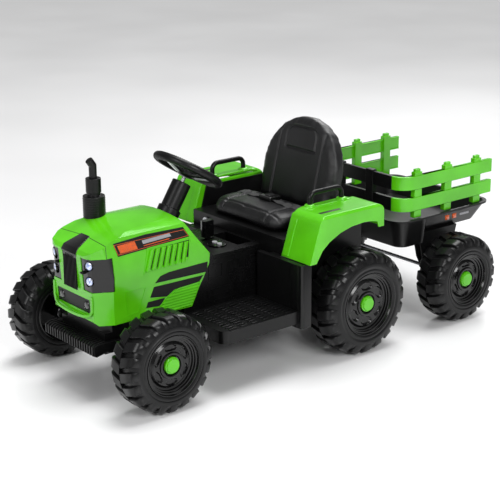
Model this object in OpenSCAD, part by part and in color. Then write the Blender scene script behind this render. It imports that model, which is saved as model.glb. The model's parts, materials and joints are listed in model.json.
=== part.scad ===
// Child's battery tractor with a two-wheel trailer, +X forward, +Z up.
// The origin is on the ground, under the middle of the whole length.

/* [Overall] */
// Length from the front tyre to the end of the trailer rails
overall_l = 1336; // [1200:4:1600]
// Distance from the front axle to the rear axle
wheelbase = 619; // [560:1:740]
// Distance from the rear axle to the trailer axle
trailer_gap = 386; // [380:1:460]

/* [Wheels] */
// Radius of a front tyre
front_tyre_r = 124; // [112:1:132]
// Width of a front tyre
front_tyre_w = 100; // [80:1:110]
// Radius of a rear tyre
rear_tyre_r = 140; // [130:1:160]
// Width of a rear tyre
rear_tyre_w = 107; // [90:1:120]
// Radius of a trailer tyre
trailer_tyre_r = 122; // [112:1:135]
// Width of a trailer tyre
trailer_tyre_w = 98; // [80:1:105]
// Overall width across the rear tyres
track_w = 624; // [600:2:700]
// Diameter of every steel axle
axle_d = 10; // [8:0.5:14]
// Wall of the moulded wheels
wheel_wall = 5; // [3:0.5:7]
// Depth of the dish in a wheel's outer face
dish_depth = 20; // [12:1:26]
// Radius of a hub cap
cap_r = 21; // [18:0.5:26]

/* [Hood] */
// Width of the hood across its sides
hood_w = 224; // [210:2:250]
// Height of the top of the hood above the ground
hood_top = 420; // [416:1:440]
// Wall of the hood moulding
hood_wall = 3; // [2:0.5:5]
// Height of the crease along the hood's side
crease_z = 304; // [290:1:320]
// Diameter of the lower part of the muffler
muffler_d = 56; // [44:1:60]

/* [Chassis] */
// Wall of the chassis and body mouldings
wall = 4; // [3:0.5:6]
// Width of the centre tub
tub_w = 194; // [170:2:210]
// Height of the top of the centre tub
tub_top = 165; // [160:1:175]
// Width across both footplates
foot_w = 560; // [520:2:590]
// Width of the body box under the seat
body_w = 380; // [350:2:384]
// Height of the body box under the seat
body_top = 328; // [310:1:350]
// Thickness of the front axle beam
beam_t = 30; // [24:1:40]

/* [Fenders] */
// Height of the top of a fender
fender_top = 405; // [380:1:440]
// Wall of a fender
fender_wall = 4; // [3:0.5:6]
// Diameter of the tube of a fender handle
handle_d = 13; // [10:0.5:18]
// Height of a fender handle above the fender
handle_h = 42; // [36:1:60]

/* [Seat] */
// Width of the seat cushion
seat_w = 304; // [260:2:330]
// Thickness of the seat cushion
cushion_t = 42; // [36:1:56]
// Height of the seat back above the body box
back_h = 264; // [220:1:300]

/* [Steering] */
// Angle that the knuckles turn each way
steer_angle = 22; // [15:1:24]
// Outer radius of the steering wheel
steer_wheel_r = 96; // [80:1:115]
// Radius of the steering wheel's rim tube
steer_rim_r = 11; // [9:0.5:14]
// Diameter of the steering rod
steer_rod_d = 10; // [8:0.5:14]
// Length of the arms on the knuckles
knuckle_arm = 45; // [36:1:50]
// Length of the crank at the foot of the steering rod
crank_arm = 30; // [26:1:34]

/* [Trailer] */
// Length of the tray at its rim
tray_l = 369; // [320:1:400]
// Width of the tray at its rim
tray_w = 400; // [350:2:404]
// Height of the tray's rim above the ground
tray_top = 295; // [280:1:310]
// Depth of the tray
tray_depth = 54; // [46:1:70]
// Extra depth of the well in the front of the tray
well_depth = 26; // [10:1:40]
// Height of the trailer rails above the tray
rail_h = 138; // [110:1:160]
// Distance between the posts of a side rail
post_pitch = 120; // [100:1:125]

/* [Hidden] */
$fn = 64;
skin_fn = 32;
run_gap = 0.05;
touch = 0.05;
free_gap = 0.3;
axle_r = axle_d / 2;
front_axle_x = overall_l / 2 - front_tyre_r;
rear_axle_x = front_axle_x - wheelbase;
trailer_axle_x = rear_axle_x - trailer_gap;
front_face_y = 292;
rear_face_y = track_w / 2;
trailer_face_y = 307;
kingpin_y = front_face_y - front_tyre_w - 10;
hub_r = 17;
hub_step = 4;
nut_t = 5;
nut_r = 11;
hood_half = hood_w / 2;
tub_half = tub_w / 2;
tub_floor = 112;
foot_half = foot_w / 2;
body_half = body_w / 2;
body_front = -424;
body_rear = -(wheelbase + 81);
body_floor = 110;
body_upright_top = fender_top - 17;
shelf_z = 190;
// charging socket, above the splash plates so that a plug can reach it from ahead
socket_r = 5.5;
socket_y = -130;
socket_z = body_top - 21;
foot_front = -160;
foot_rear = -398;
beam_h = 27;
beam_top = tub_top - wall - touch;
beam_bottom = beam_top - beam_h;
boss_r = 12;
boss_top = beam_top + 15;
arm_z = 108;
arm_t = 5;
arm_pin_r = 4;
tie_z = 98;
tie_t = 5;
tie_play = 0.6;
tie_half = kingpin_y;
tie_slip = knuckle_arm * (1 - cos(steer_angle));
steer_lean = 33;
steer_hub_x = -267;
steer_hub_z = 503;
crank_z = 124;
crank_run = (steer_hub_z - crank_z) / cos(steer_lean);
seat_front = -436;
back_t = 38;
seat_rear = -608;
back_lean = 14;
console_half = 106;
console_top = 300;
console_front = -168;
hood_base = 187;
fender_in = body_half + touch;
fender_out = body_half + 112;
fender_bottom = 287;
fender_rear = -674;
handle_front = -502;
handle_back = -612;
handle_y = body_half + 14;
tray_front = tray_l / 2 - 15;
tray_rear = tray_front - tray_l;
tray_floor = tray_top - tray_depth;
well_floor = tray_floor - well_depth;
well_rear = 42;
tray_slope = 28;
tray_wall = 4;
rail_t = 10;
rail_y = tray_w / 2 - 17;
board_h = 38;
rail_bend_r = 45;
rail_front = 154;
rail_rear = -overall_l / 2 - trailer_axle_x;
post_l = 28;
post_t = 16;
first_post = rail_rear + 58;
hitch_x = -(wheelbase + 116);
hitch_z = 136;
eye_t = 11;
eye_r = 14;
pin_r = 5;
panel_x = -325;
panel_y = 42;
panel_r = 25;
panel_t = 4;
lever_x = -337;
lever_y = -14;
lever_z = 284;
pedal_x = -240;
pedal_y = -185;
pedal_z = 174;
pedal_pin_r = 3;
pedal_w = 56;
exhaust_x = -31;
exhaust_y = -78;
exhaust_z = 396;
muffler_h = 65;
neck_h = 8;
upper_h = 37;
column_foot_r = 30;
pipe_r = 10;
pipe_rise = 44;

// ---- places and helpers ----

// x is measured from the front axle inside this
module on_tractor() translate([front_axle_x, 0, 0]) children();

// x is measured from the trailer axle inside this
module on_trailer() translate([trailer_axle_x, 0, 0]) children();

// a box from one corner to the other
module block(low, high) translate(low) cube(high - low);

// a profile in x and z, extruded along y between two values
module side_profile(points, y0, y1)
    translate([0, y1, 0]) rotate([90, 0, 0]) linear_extrude(y1 - y0) polygon(points);

// a rod along y
module cross_rod(x, z, y0, y1, r)
    translate([x, y1, z]) rotate([90, 0, 0]) cylinder(r = r, h = y1 - y0);

// children and their mirror image on the other side
module both_sides() {
    children();
    mirror([0, 1, 0]) children();
}

// points of an arc in a plane
function arc(cx, cz, r, a0, a1, n) =
    [for (i = [0 : n]) [cx + r * cos(a0 + (a1 - a0) * i / n), cz + r * sin(a0 + (a1 - a0) * i / n)]];

// the frame of the steering rod: z runs up the rod, x to the right-hand side of travel
module on_steering() on_tractor() translate([steer_hub_x, 0, steer_hub_z]) rotate([0, -steer_lean, 0])
    children();

// ---- wheels ----

// one moulded wheel, outer face at z = w, open towards z = 0
module wheel_shape(r, w, rim_r, hub_in) {
    bore_r = axle_r + run_gap;
    lip_r = rim_r - 12;
    shoulder = 14;
    t = wheel_wall;
    disc = w - dish_depth;
    difference() {
        rotate_extrude() polygon([
            [bore_r, disc + hub_step], [hub_r + 8, disc + hub_step], [hub_r + 12, disc],
            [rim_r - 9, disc], [rim_r - 2, w - 6], [rim_r + 6, w], [r - shoulder, w],
            [r, w - shoulder], [r, shoulder], [r - shoulder, 0], [lip_r, 0], [lip_r, t],
            [r - shoulder - 2, t], [r - t, shoulder + 2], [r - t, w - shoulder - 2],
            [r - shoulder - 2, w - t], [rim_r + 9, w - t], [rim_r + 3, w - 6 - t / 2],
            [rim_r - 6, disc - t], [hub_r, disc - t], [hub_r, hub_in], [bore_r, hub_in]]);
        for (i = [0 : 5]) rotate([0, 0, i * 60])
            translate([(hub_r + rim_r) / 2, 0, disc - 2]) cylinder(r = 8, h = 10);
    }
}

module wheel_at(x, z, face_y, r, w, rim_r, hub_in)
    color([0.06, 0.06, 0.065]) translate([x, face_y - w, z]) rotate([-90, 0, 0])
        wheel_shape(r, w, rim_r, hub_in);

// cap over the axle end, seated on the hub
module cap_at(x, z, face_y)
    color([0.32, 0.82, 0.05]) translate([x, face_y - dish_depth + hub_step + touch, z])
        rotate([-90, 0, 0]) difference() {
            union() {
                cylinder(r = cap_r, h = 9);
                cylinder(r = cap_r - 3, h = 13);
            }
            translate([0, 0, -1]) cylinder(r = nut_r + 1.5, h = 9.5);
        }

// push nut on an axle end outside the hub
module nut_at(x, z, face_y)
    translate([x, face_y - dish_depth + hub_step + free_gap, z]) rotate([-90, 0, 0]) difference() {
        cylinder(r = nut_r, h = nut_t);
        translate([0, 0, -1]) cylinder(r = axle_r - 1, h = nut_t + 2);
    }

front_rim_r = front_tyre_r - 47;
rear_rim_r = rear_tyre_r - 55;
trailer_rim_r = trailer_tyre_r - 49;
rear_hub_in = 10;
trailer_hub_in = 8;
front_hub_in = 8;

module wheel_front_left() wheel_at(front_axle_x, front_tyre_r, front_face_y, front_tyre_r,
    front_tyre_w, front_rim_r, front_hub_in);
module wheel_front_right() mirror([0, 1, 0]) wheel_front_left();
module wheel_rear_left() wheel_at(rear_axle_x, rear_tyre_r, rear_face_y, rear_tyre_r,
    rear_tyre_w, rear_rim_r, rear_hub_in);
module wheel_rear_right() mirror([0, 1, 0]) wheel_rear_left();
module wheel_trailer_left() wheel_at(trailer_axle_x, trailer_tyre_r, trailer_face_y,
    trailer_tyre_r, trailer_tyre_w, trailer_rim_r, trailer_hub_in);
module wheel_trailer_right() mirror([0, 1, 0]) wheel_trailer_left();
module cap_front_left() cap_at(front_axle_x, front_tyre_r, front_face_y);
module cap_front_right() mirror([0, 1, 0]) cap_front_left();
module cap_rear_left() cap_at(rear_axle_x, rear_tyre_r, rear_face_y);
module cap_rear_right() mirror([0, 1, 0]) cap_rear_left();
module cap_trailer_left() cap_at(trailer_axle_x, trailer_tyre_r, trailer_face_y);
module cap_trailer_right() mirror([0, 1, 0]) cap_trailer_left();

// ---- axles and drive ----

module rear_axle() color("silver") {
    half = rear_face_y - dish_depth + hub_step + free_gap + nut_t + 1;
    cross_rod(rear_axle_x, rear_tyre_r, -half, half, axle_r);
    both_sides() nut_at(rear_axle_x, rear_tyre_r, rear_face_y);
}

module trailer_axle() color("silver") {
    half = trailer_face_y - dish_depth + hub_step + free_gap + nut_t + 1;
    cross_rod(trailer_axle_x, trailer_tyre_r, -half, half, axle_r);
    both_sides() nut_at(trailer_axle_x, trailer_tyre_r, trailer_face_y);
}

gear_r = 36;
gear_y0 = 132;
gear_y1 = body_half - wall - touch;
motor_r = 18;
motor_x = -wheelbase + 46;

module gearboxes() color([0.15, 0.15, 0.16]) on_tractor() both_sides() difference() {
    union() {
        cross_rod(-wheelbase, rear_tyre_r, gear_y0, gear_y1, gear_r);
        block([-wheelbase, gear_y0, rear_tyre_r - 24], [motor_x + 8, gear_y1, rear_tyre_r + 24]);
        cross_rod(motor_x, rear_tyre_r, gear_y0, gear_y1, 24);
        // output boss that drives the wheel's hub
        cross_rod(-wheelbase, rear_tyre_r, gear_y1 - 1, body_half + 8, 14);
    }
    cross_rod(-wheelbase, rear_tyre_r, gear_y0 - 1, body_half + 20, axle_r + run_gap);
}

module drive_motors() color("gray") on_tractor() both_sides() {
    cross_rod(motor_x, rear_tyre_r, gear_y0 - 57 - touch, gear_y0 - touch, motor_r);
    cross_rod(motor_x, rear_tyre_r, gear_y0 - 64, gear_y0 - 57, 6);
}

module front_axle_beam() color([0.07, 0.07, 0.075]) on_tractor() difference() {
    union() {
        block([-beam_t / 2, -kingpin_y, beam_bottom], [beam_t / 2, kingpin_y, beam_top]);
        both_sides() translate([0, kingpin_y, beam_bottom])
            cylinder(r = boss_r, h = boss_top - beam_bottom);
    }
    both_sides() translate([0, kingpin_y, 0]) cylinder(r = axle_r + run_gap, h = boss_top + 10);
    both_sides() difference() {
        block([-beam_t, kingpin_y, 0], [beam_t, kingpin_y + 30, boss_top + 10]);
        translate([0, kingpin_y, -1]) cylinder(r = boss_r, h = boss_top + 20);
    }
}

module knuckle_left() color("silver") on_tractor() {
    reach = front_face_y - dish_depth + hub_step + free_gap + nut_t + 1;
    translate([0, kingpin_y, arm_z]) cylinder(r = axle_r, h = boss_top + 8 - arm_z);
    translate([0, kingpin_y, boss_top + free_gap]) cylinder(r = 9, h = 4);
    cross_rod(0, front_tyre_r, kingpin_y, reach, axle_r);
    nut_at(0, front_tyre_r, front_face_y);
    // steering arm with its pin for the tie rod
    block([-knuckle_arm, kingpin_y - 7, arm_z], [0, kingpin_y + 7, arm_z + arm_t]);
    translate([0, kingpin_y, arm_z]) cylinder(r = 8, h = arm_t);
    translate([-knuckle_arm, kingpin_y, arm_z]) cylinder(r = 7, h = arm_t);
    translate([-knuckle_arm, kingpin_y, tie_z - 4]) cylinder(r = arm_pin_r, h = arm_z - tie_z + 5);
}

module knuckle_right() mirror([0, 1, 0]) knuckle_left();

// a slot along x for a pin that swings between two places
module slot_x(x0, x1, y, r, z0, h) {
    translate([x0, y, z0]) cylinder(r = r, h = h);
    translate([x1, y, z0]) cylinder(r = r, h = h);
    block([x0, y - r, z0], [x1, y + r, z0 + h]);
}

crank_pin_r = 4;
crank_pin_lean = tan(steer_lean) * tie_t;
// where the leaning crank pin passes through the tie rod
crank_pin_x = steer_hub_x + (steer_hub_z - crank_z) * tan(steer_lean) - crank_arm * cos(steer_lean)
    + (crank_z - crank_arm * sin(steer_lean) - tie_z - tie_t / 2) * tan(steer_lean);

module tie_rod() color("silver") on_tractor() {
    end_r = arm_pin_r + tie_play + 2.8;
    slot_r = arm_pin_r + tie_play;
    x_back = -knuckle_arm;
    x_front = -knuckle_arm + tie_slip + 0.4;
    mid_back = crank_pin_x - crank_pin_lean - 2;
    mid_front = crank_pin_x + crank_arm * (1 - cos(38)) + 4;
    difference() {
        union() {
            block([x_back - 6, -tie_half, tie_z], [x_back + 6, tie_half, tie_z + tie_t]);
            both_sides() slot_x(x_back, x_front, tie_half, end_r, tie_z, tie_t);
            block([min(mid_back, x_back) - 11, -13, tie_z], [mid_front + 11, 13, tie_z + tie_t]);
        }
        both_sides() slot_x(x_back, x_front, tie_half, slot_r, tie_z - 1, tie_t + 2);
        slot_x(mid_back, mid_front, 0, crank_pin_r + 1.4, tie_z - 1, tie_t + 2);
    }
}

// ---- steering ----

crank_drop = 27;

module steering_shaft() color("silver") on_steering() {
    translate([0, 0, -crank_run]) cylinder(r = steer_rod_d / 2, h = crank_run - 12);
    // crank plate and the pin that moves the tie rod
    translate([-crank_arm, -6, -crank_run]) cube([crank_arm, 12, 5]);
    translate([0, 0, -crank_run]) cylinder(r = 8, h = 5);
    translate([-crank_arm, 0, -crank_run - crank_drop + 5]) cylinder(r = crank_pin_r, h = crank_drop);
}

spoke_t = 12;
horn_r = 24;
horn_travel = 2;

module steering_wheel() color([0.05, 0.05, 0.05]) on_steering() difference() {
    union() {
        rotate_extrude() translate([steer_wheel_r - steer_rim_r, 0]) circle(r = steer_rim_r);
        translate([0, 0, -30]) cylinder(r = 33, h = 32);
        for (a = [0, 115, 245]) rotate([0, 0, a])
            translate([20, -15, -spoke_t - 4]) cube([steer_wheel_r - 34, 30, spoke_t]);
    }
    translate([0, 0, -31]) cylinder(r = steer_rod_d / 2, h = 20);
    translate([0, 0, -6]) cylinder(r = horn_r + free_gap, h = 20);
}

module horn_button() color([0.12, 0.12, 0.12]) on_steering()
    translate([0, 0, -6 + horn_travel + 0.5]) cylinder(r = horn_r, h = 10);

module steering_column() color([0.05, 0.05, 0.05]) on_steering() difference() {
    union() {
        translate([0, 0, -124]) cylinder(r = 25, h = 88);
        translate([0, 0, -128]) cylinder(r = column_foot_r, h = 20);
    }
    translate([0, 0, -140]) cylinder(r = 21, h = 96);
    translate([0, 0, -60]) cylinder(r = steer_rod_d / 2 + run_gap, h = 40);
}

// ---- chassis ----

module tub_cavity() {
    block([-60 + touch, -tub_half + wall, 0], [62, tub_half - wall, tub_top - wall]);
    block([body_front + wall, -tub_half + wall, 0], [-64, tub_half - wall, tub_top - wall]);
    block([-65, -tub_half + wall + 20, 0], [-59, tub_half - wall - 20, tub_top - wall]);
}

module foot_recess(x, y) {
    translate([x - 14, y, tub_top - 1.5]) cylinder(r = 7, h = 5);
    translate([x + 14, y, tub_top - 1.5]) cylinder(r = 7, h = 5);
    block([x - 14, y - 7, tub_top - 1.5], [x + 14, y + 7, tub_top + 3]);
}

module foot_slab() {
    corner = 24;
    skirt = 34;
    z0 = tub_top - skirt;
    difference() {
        union() {
            block([foot_rear, tub_half - 1, z0], [foot_front, foot_half - corner, tub_top]);
            block([foot_rear, tub_half, z0], [foot_front - corner, foot_half, tub_top]);
            translate([foot_front - corner, foot_half - corner, z0]) cylinder(r = corner, h = skirt);
        }
        block([foot_rear + wall, tub_half + wall, z0 - 1],
            [foot_front - wall, foot_half - corner, tub_top - wall - 2]);
        block([foot_rear + wall, tub_half + wall, z0 - 1],
            [foot_front - corner, foot_half - wall, tub_top - wall - 2]);
        for (i = [0 : 3]) for (j = [0 : 2]) foot_recess(foot_front - 42 - 52 * i, tub_half + 45 + 45 * j);
    }
}

module pedal_ears() for (side = [-1, 1]) difference() {
    translate([pedal_x, pedal_y + side * (pedal_w / 2 + 4) - 3, tub_top - 1]) {
        translate([-7, 0, 0]) cube([14, 6, pedal_z - tub_top + 1]);
        translate([0, 6, pedal_z - tub_top + 1]) rotate([90, 0, 0]) cylinder(r = 7, h = 6);
    }
    cross_rod(pedal_x, pedal_z, pedal_y - pedal_w, pedal_y + pedal_w, pedal_pin_r + run_gap);
}

module chassis_pan() color([0.07, 0.07, 0.075]) on_tractor() union() {
    difference() {
        block([body_front + touch, -tub_half, tub_floor], [66, tub_half, tub_top]);
        tub_cavity();
        block([-beam_t / 2 - 0.2, -tub_half - 1, 0], [beam_t / 2 + 0.2, tub_half + 1, beam_top + touch / 2]);
        translate([steer_hub_x, 0, steer_hub_z]) rotate([0, -steer_lean, 0])
            translate([0, 0, -crank_run - 40]) cylinder(r = steer_rod_d / 2 + run_gap, h = crank_run);
    }
    difference() {
        both_sides() foot_slab();
        block([pedal_x - 12, pedal_y - pedal_w / 2 - 1, tub_top - 1.2],
            [pedal_x + 84, pedal_y + pedal_w / 2 + 1, tub_top + 5]);
    }
    // plinth that carries the hood
    difference() {
        linear_extrude(hood_base - touch) polygon([[console_front + touch, -tub_half], [44, -tub_half], [66, -70],
            [66, 70], [44, tub_half], [console_front + touch, tub_half]]);
        block([console_front + touch + wall, -tub_half + wall, tub_top - wall - 1], [40, tub_half - wall, hood_base + 1]);
        block([-200, -tub_half - 1, -1], [80, tub_half + 1, tub_top - wall / 2]);
    }
    pedal_ears();
}

module rear_body() color([0.06, 0.06, 0.065]) on_tractor() difference() {
    union() {
        difference() {
            block([body_rear, -body_half, body_floor], [body_front, body_half, body_top]);
            block([body_rear + wall, -body_half + wall, 0], [body_front - wall, body_half - wall, shelf_z - wall]);
            block([body_rear + wall, -body_half + wall, shelf_z], [body_front - wall, body_half - wall, body_top - wall]);
        }
        // uprights beside the seat, under the fenders
        both_sides() side_profile([[body_front - 26, body_top - 1], [body_rear, body_top - 1],
            [body_rear, body_upright_top - 22], [body_rear + 30, body_upright_top],
            [body_front - 44, body_upright_top]], body_half - wall, body_half);
        // splash plates ahead of the rear wheels
        both_sides() block([foot_rear - touch - 14, tub_half + 20, 119],
            [foot_rear - touch, foot_half + 10, fender_bottom - touch]);
        both_sides() block([body_front - 2, body_half - 40, 119],
            [foot_rear - touch - 13, body_half, fender_bottom - touch]);
    }
    // hatch under the seat for the battery
    block([seat_rear + 30, -80, body_top - wall - 1], [seat_front - 30, 80, body_top + 1]);
    both_sides() cross_rod(-wheelbase, rear_tyre_r, body_half - wall - 1, body_half + 1, 14 + touch);
}

module battery() color([0.2, 0.2, 0.22]) on_tractor() {
    block([-560, -75, shelf_z + touch], [-495, 75, shelf_z + 94]);
    block([-552, -66, shelf_z + 94], [-546, -54, shelf_z + 100]);
    block([-552, 54, shelf_z + 94], [-546, 66, shelf_z + 100]);
}

module control_box() color([0.1, 0.1, 0.1]) on_tractor()
    block([-660, -45, shelf_z + touch], [-590, 45, shelf_z + 28]);

module charge_socket() color([0.1, 0.1, 0.1]) on_tractor() difference() {
    translate([body_front + touch, socket_y, socket_z]) rotate([0, 90, 0]) cylinder(r = 11, h = 6);
    translate([body_front, socket_y, socket_z]) rotate([0, 90, 0]) cylinder(r = socket_r, h = 10);
}

module hitch_bracket() color([0.09, 0.09, 0.09]) on_tractor() difference() {
    union() {
        block([body_rear - 5 - touch, -40, hitch_z - 24], [body_rear - touch, 40, hitch_z + 38]);
        for (z = [hitch_z - free_gap - 5, hitch_z + eye_t + free_gap]) {
            block([hitch_x, -16, z], [body_rear - touch - 2, 16, z + 5]);
            translate([hitch_x, 0, z]) cylinder(r = 16, h = 5);
        }
    }
    translate([hitch_x, 0, 0]) cylinder(r = pin_r + run_gap, h = 300);
}

module hitch_pin() color("silver") on_tractor() {
    top = hitch_z + eye_t + free_gap + 5 + free_gap;
    translate([hitch_x, 0, hitch_z - 22]) cylinder(r = pin_r, h = top + 24 - hitch_z);
    translate([hitch_x, 0, top]) cylinder(r = 10, h = 6);
    translate([hitch_x, 0, top + 6]) cylinder(r = 7, h = 12);
}

// ---- front ----

module front_bumper() color([0.07, 0.07, 0.075]) on_tractor() {
    half = 112;
    both_sides() block([24, tub_half + touch, 119], [67 + touch, half, 147]);
    side_profile([[66 + touch, 124], [96, 118], [106, 124], [106, 142], [98, 148], [66 + touch, 148]],
        -half, half);
    for (i = [0 : 19]) translate([0, -half + 3 + i * (2 * half - 6) / 19.5, 0])
        side_profile([[90, 119.5], [97, 115], [110, 122], [110, 145], [98, 151], [74, 151], [74, 146]],
            0, 5);
}

shoulder_half = hood_half - 14;
shoulder_z = hood_top - 20;
hood_lean = atan((hood_half - shoulder_half) / (shoulder_z - crease_z));

// the hood's outer form, drawn in by t and lengthened down by drop
module hood_form(t, drop) {
    intersection() {
        side_profile([[78 - t, hood_base - drop], [90 - t, 198], [88 - t, 215], [90 - t, 262],
            [97 - t, 361 - t], [90 - t, 371 - t], [47, 391 - t], [-9, 407 - t], [-70, hood_top - 4 - t],
            [-150, hood_top - t], [-168, hood_top - 2 - t], [-180, shoulder_z], [-211, 358],
            [-248, crease_z + 7], [-245, 284], [-227, 251], [-186, hood_base - drop]],
            -hood_half, hood_half);
        linear_extrude(600) polygon([[-330, -hood_half + t], [45 - t / 2, -hood_half + t],
            [90 - t, -86], [98 - t, -60], [98 - t, 60], [90 - t, 86], [45 - t / 2, hood_half - t],
            [-330, hood_half - t]]);
        translate([-340, 0, 0]) rotate([90, 0, 90]) linear_extrude(460) polygon([
            [-hood_half + t, 100], [-hood_half + t, crease_z], [-shoulder_half + t, shoulder_z - t / 2],
            [-84, hood_top - 12 - t], [-60, hood_top - 7 - t], [0, hood_top - t],
            [60, hood_top - 7 - t], [84, hood_top - 12 - t], [shoulder_half - t, shoulder_z - t / 2],
            [hood_half - t, crease_z], [hood_half - t, 100]]);
    }
}

grille_top = 361;
grille_low = 264;
grille_half_top = 33;
grille_half_low = 23;

module grille_outline(grow) polygon([[-grille_half_top - grow, grille_top + grow],
    [-grille_half_low - grow, grille_low - grow], [grille_half_low + grow, grille_low - grow],
    [grille_half_top + grow, grille_top + grow]]);

// something drawn in y and z, extruded forward from x
module front_profile(x, depth) translate([x, 0, 0]) rotate([90, 0, 90]) linear_extrude(depth) children();

lamp_low = 272;
lamp_high = 356;
lamp_in = 50;
fog_half = 73;
fog_low = 215;
fog_high = 251;

module lamp_space(grow) block([40 - grow, lamp_in - grow, lamp_low - grow],
    [120, hood_half + 5, lamp_high + grow]);

module hood_shell() color([0.32, 0.82, 0.05]) on_tractor() difference() {
    hood_form(0, 0);
    hood_form(hood_wall, 20);
    front_profile(60, 80) grille_outline(touch);
    both_sides() lamp_space(touch);
    block([60, -fog_half - touch, fog_low - touch], [130, fog_half + touch, fog_high + touch]);
    translate([exhaust_x, exhaust_y, exhaust_z - 5]) cylinder(r = muffler_d / 2 + touch, h = 90);
    // room for the foot of the steering column
    translate([steer_hub_x, 0, steer_hub_z]) rotate([0, -steer_lean, 0])
        translate([0, 0, -150]) cylinder(r = column_foot_r + touch, h = 100);
}

module grille() color([0.1, 0.1, 0.105]) on_tractor() difference() {
    union() {
        intersection() {
            difference() {
                hood_form(0.6, 0);
                hood_form(6, 20);
            }
            front_profile(60, 80) grille_outline(0);
        }
        // fins
        for (i = [-3 : 3]) block([86, i * 6.4 - 1.2, grille_low + 6], [92, i * 6.4 + 1.2, grille_top - 8]);
    }
    for (i = [-2.5 : 2.5]) block([88, i * 6.4 - 2, grille_low + 5], [110, i * 6.4 + 2, grille_top - 8]);
}

lens_x = 86;
lens_y = 70;
lens_r = 10;

module headlamp_housings() color([0.06, 0.06, 0.065]) on_tractor() both_sides() difference() {
    intersection() {
        difference() {
            hood_form(2, 0);
            hood_form(14, 20);
        }
        lamp_space(0);
    }
    for (z = [295, 333]) translate([lens_x - 14, lens_y, z]) rotate([0, 90, 0]) cylinder(r = lens_r + touch, h = 60);
}

module headlamp_lenses() color([0.75, 0.8, 0.95]) on_tractor() both_sides() for (z = [295, 333])
    translate([lens_x - 3, lens_y, z]) rotate([0, 90, 0]) {
        cylinder(r = lens_r, h = 8);
        cylinder(r = lens_r - 3, h = 9.5);
    }

module fog_panel() color([0.08, 0.08, 0.085]) on_tractor() {
    intersection() {
        difference() {
            hood_form(1.5, 0);
            hood_form(8, 20);
        }
        block([60, -fog_half, fog_low], [130, fog_half, fog_high]);
    }
}

trim_t = 1.2;

// a flat plate on the hood's side: below the crease it is upright, above it leans in
module side_plate(points) translate([0, hood_half + touch + trim_t, 0]) rotate([90, 0, 0])
    linear_extrude(trim_t) polygon(points);
module lean_plate(points) translate([0, hood_half, crease_z]) rotate([90 + hood_lean, 0, 0])
    translate([0, 0, -trim_t - touch]) linear_extrude(trim_t) polygon(points);

module hood_trim() color([0.1, 0.1, 0.1]) on_tractor() both_sides() {
    lean_plate([[24, 52], [34, 86], [-60, 91], [-174, 88], [-190, 61]]);
    side_plate([[-77, 268], [-93, 283], [-120, 288], [-240, 290], [-237, 264]]);
    side_plate([[-61, 234], [-73, 259], [-226, 257], [-213, 243], [-135, 239], [-111, 226]]);
    side_plate([[-48, 210], [-54, 224], [-106, 224], [-90, 206]]);
}

module dash_panel() color([0.06, 0.06, 0.065]) on_tractor() difference() {
    intersection() {
        side_profile([[-160, 430], [-168, hood_top - 6], [-183, shoulder_z - 2], [-214, 356],
            [-250, crease_z + 6], [-250, console_top + touch], [-160, console_top + touch]],
            -hood_half, hood_half);
        hood_form(hood_wall + touch, 20);
    }
    side_profile([[-155, 402], [-176, 398], [-206, 352], [-238, crease_z + 4], [-238, console_top - 5],
        [-155, console_top - 5]], -hood_half + 10, hood_half - 10);
    translate([steer_hub_x, 0, steer_hub_z]) rotate([0, -steer_lean, 0])
        translate([0, 0, -150]) cylinder(r = column_foot_r + touch, h = 100);
}

pipe_base = exhaust_z + muffler_h + neck_h + upper_h - 12;

module muffler() color([0.06, 0.06, 0.065]) on_tractor() translate([exhaust_x, exhaust_y, 0]) difference() {
    union() {
        translate([0, 0, exhaust_z]) cylinder(r = muffler_d / 2, h = muffler_h);
        translate([0, 0, exhaust_z + muffler_h - 1]) cylinder(r = 17, h = neck_h + 2);
        translate([0, 0, exhaust_z + muffler_h + neck_h]) cylinder(r = 19.5, h = upper_h);
    }
    translate([0, 0, exhaust_z - 1]) cylinder(r = muffler_d / 2 - 4, h = muffler_h - 4);
    translate([0, 0, pipe_base]) cylinder(r = pipe_r + touch, h = 30);
}

module exhaust_pipe() color([0.05, 0.05, 0.05]) on_tractor()
    translate([exhaust_x, exhaust_y, pipe_base + touch]) {
        cylinder(r = pipe_r, h = pipe_rise);
        translate([0, 0, pipe_rise]) sphere(r = pipe_r);
        translate([0, 0, pipe_rise]) rotate([0, 35, 0]) cylinder(r = pipe_r, h = 18);
    }

// ---- console ----

module console_box() color([0.07, 0.07, 0.075]) on_tractor() difference() {
    union() {
        difference() {
            block([body_front + touch, -console_half, tub_top + touch], [console_front, console_half, console_top]);
            block([body_front + touch + wall, -console_half + wall, tub_top - 1],
                [console_front - wall, console_half - wall, console_top - wall]);
        }
        // storage tray walls and floor under the top
        block([-418, -40, console_top - 46], [-362, 81, console_top - 1]);
        // ears that carry the gear lever
        for (side = [-1, 1]) block([lever_x - 9, lever_y + side * 12 - 3, lever_z - 9],
            [lever_x + 9, lever_y + side * 12 + 3, console_top - 1]);
    }
    block([-414, -36, console_top - 42], [-366, 77, console_top + 5]);
    block([lever_x - 20, lever_y - 7, console_top - wall - 2], [lever_x + 20, lever_y + 7, console_top + 2]);
    cross_rod(lever_x, lever_z, lever_y - 16, lever_y + 16, 3 + run_gap);
    for (b = [-10, 10]) translate([panel_x, panel_y + b, console_top - 6]) cylinder(r = 5.5, h = 10);
}

button_r = 7;
button_travel = 1.5;

module control_panel() color([0.12, 0.12, 0.12]) on_tractor() difference() {
    translate([panel_x, panel_y, console_top + touch]) cylinder(r = panel_r, h = panel_t);
    for (b = [-10, 10]) translate([panel_x, panel_y + b, console_top - 1])
        cylinder(r = button_r + free_gap, h = 10);
}

module push_button(b) color("silver") on_tractor() translate([panel_x, panel_y + b, 0]) {
    translate([0, 0, console_top + button_travel + 0.5]) cylinder(r = button_r, h = panel_t + 1);
    translate([0, 0, console_top - 8]) cylinder(r = 4.5, h = 12);
}
module power_button() push_button(10);
module sound_button() push_button(-10);

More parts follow.
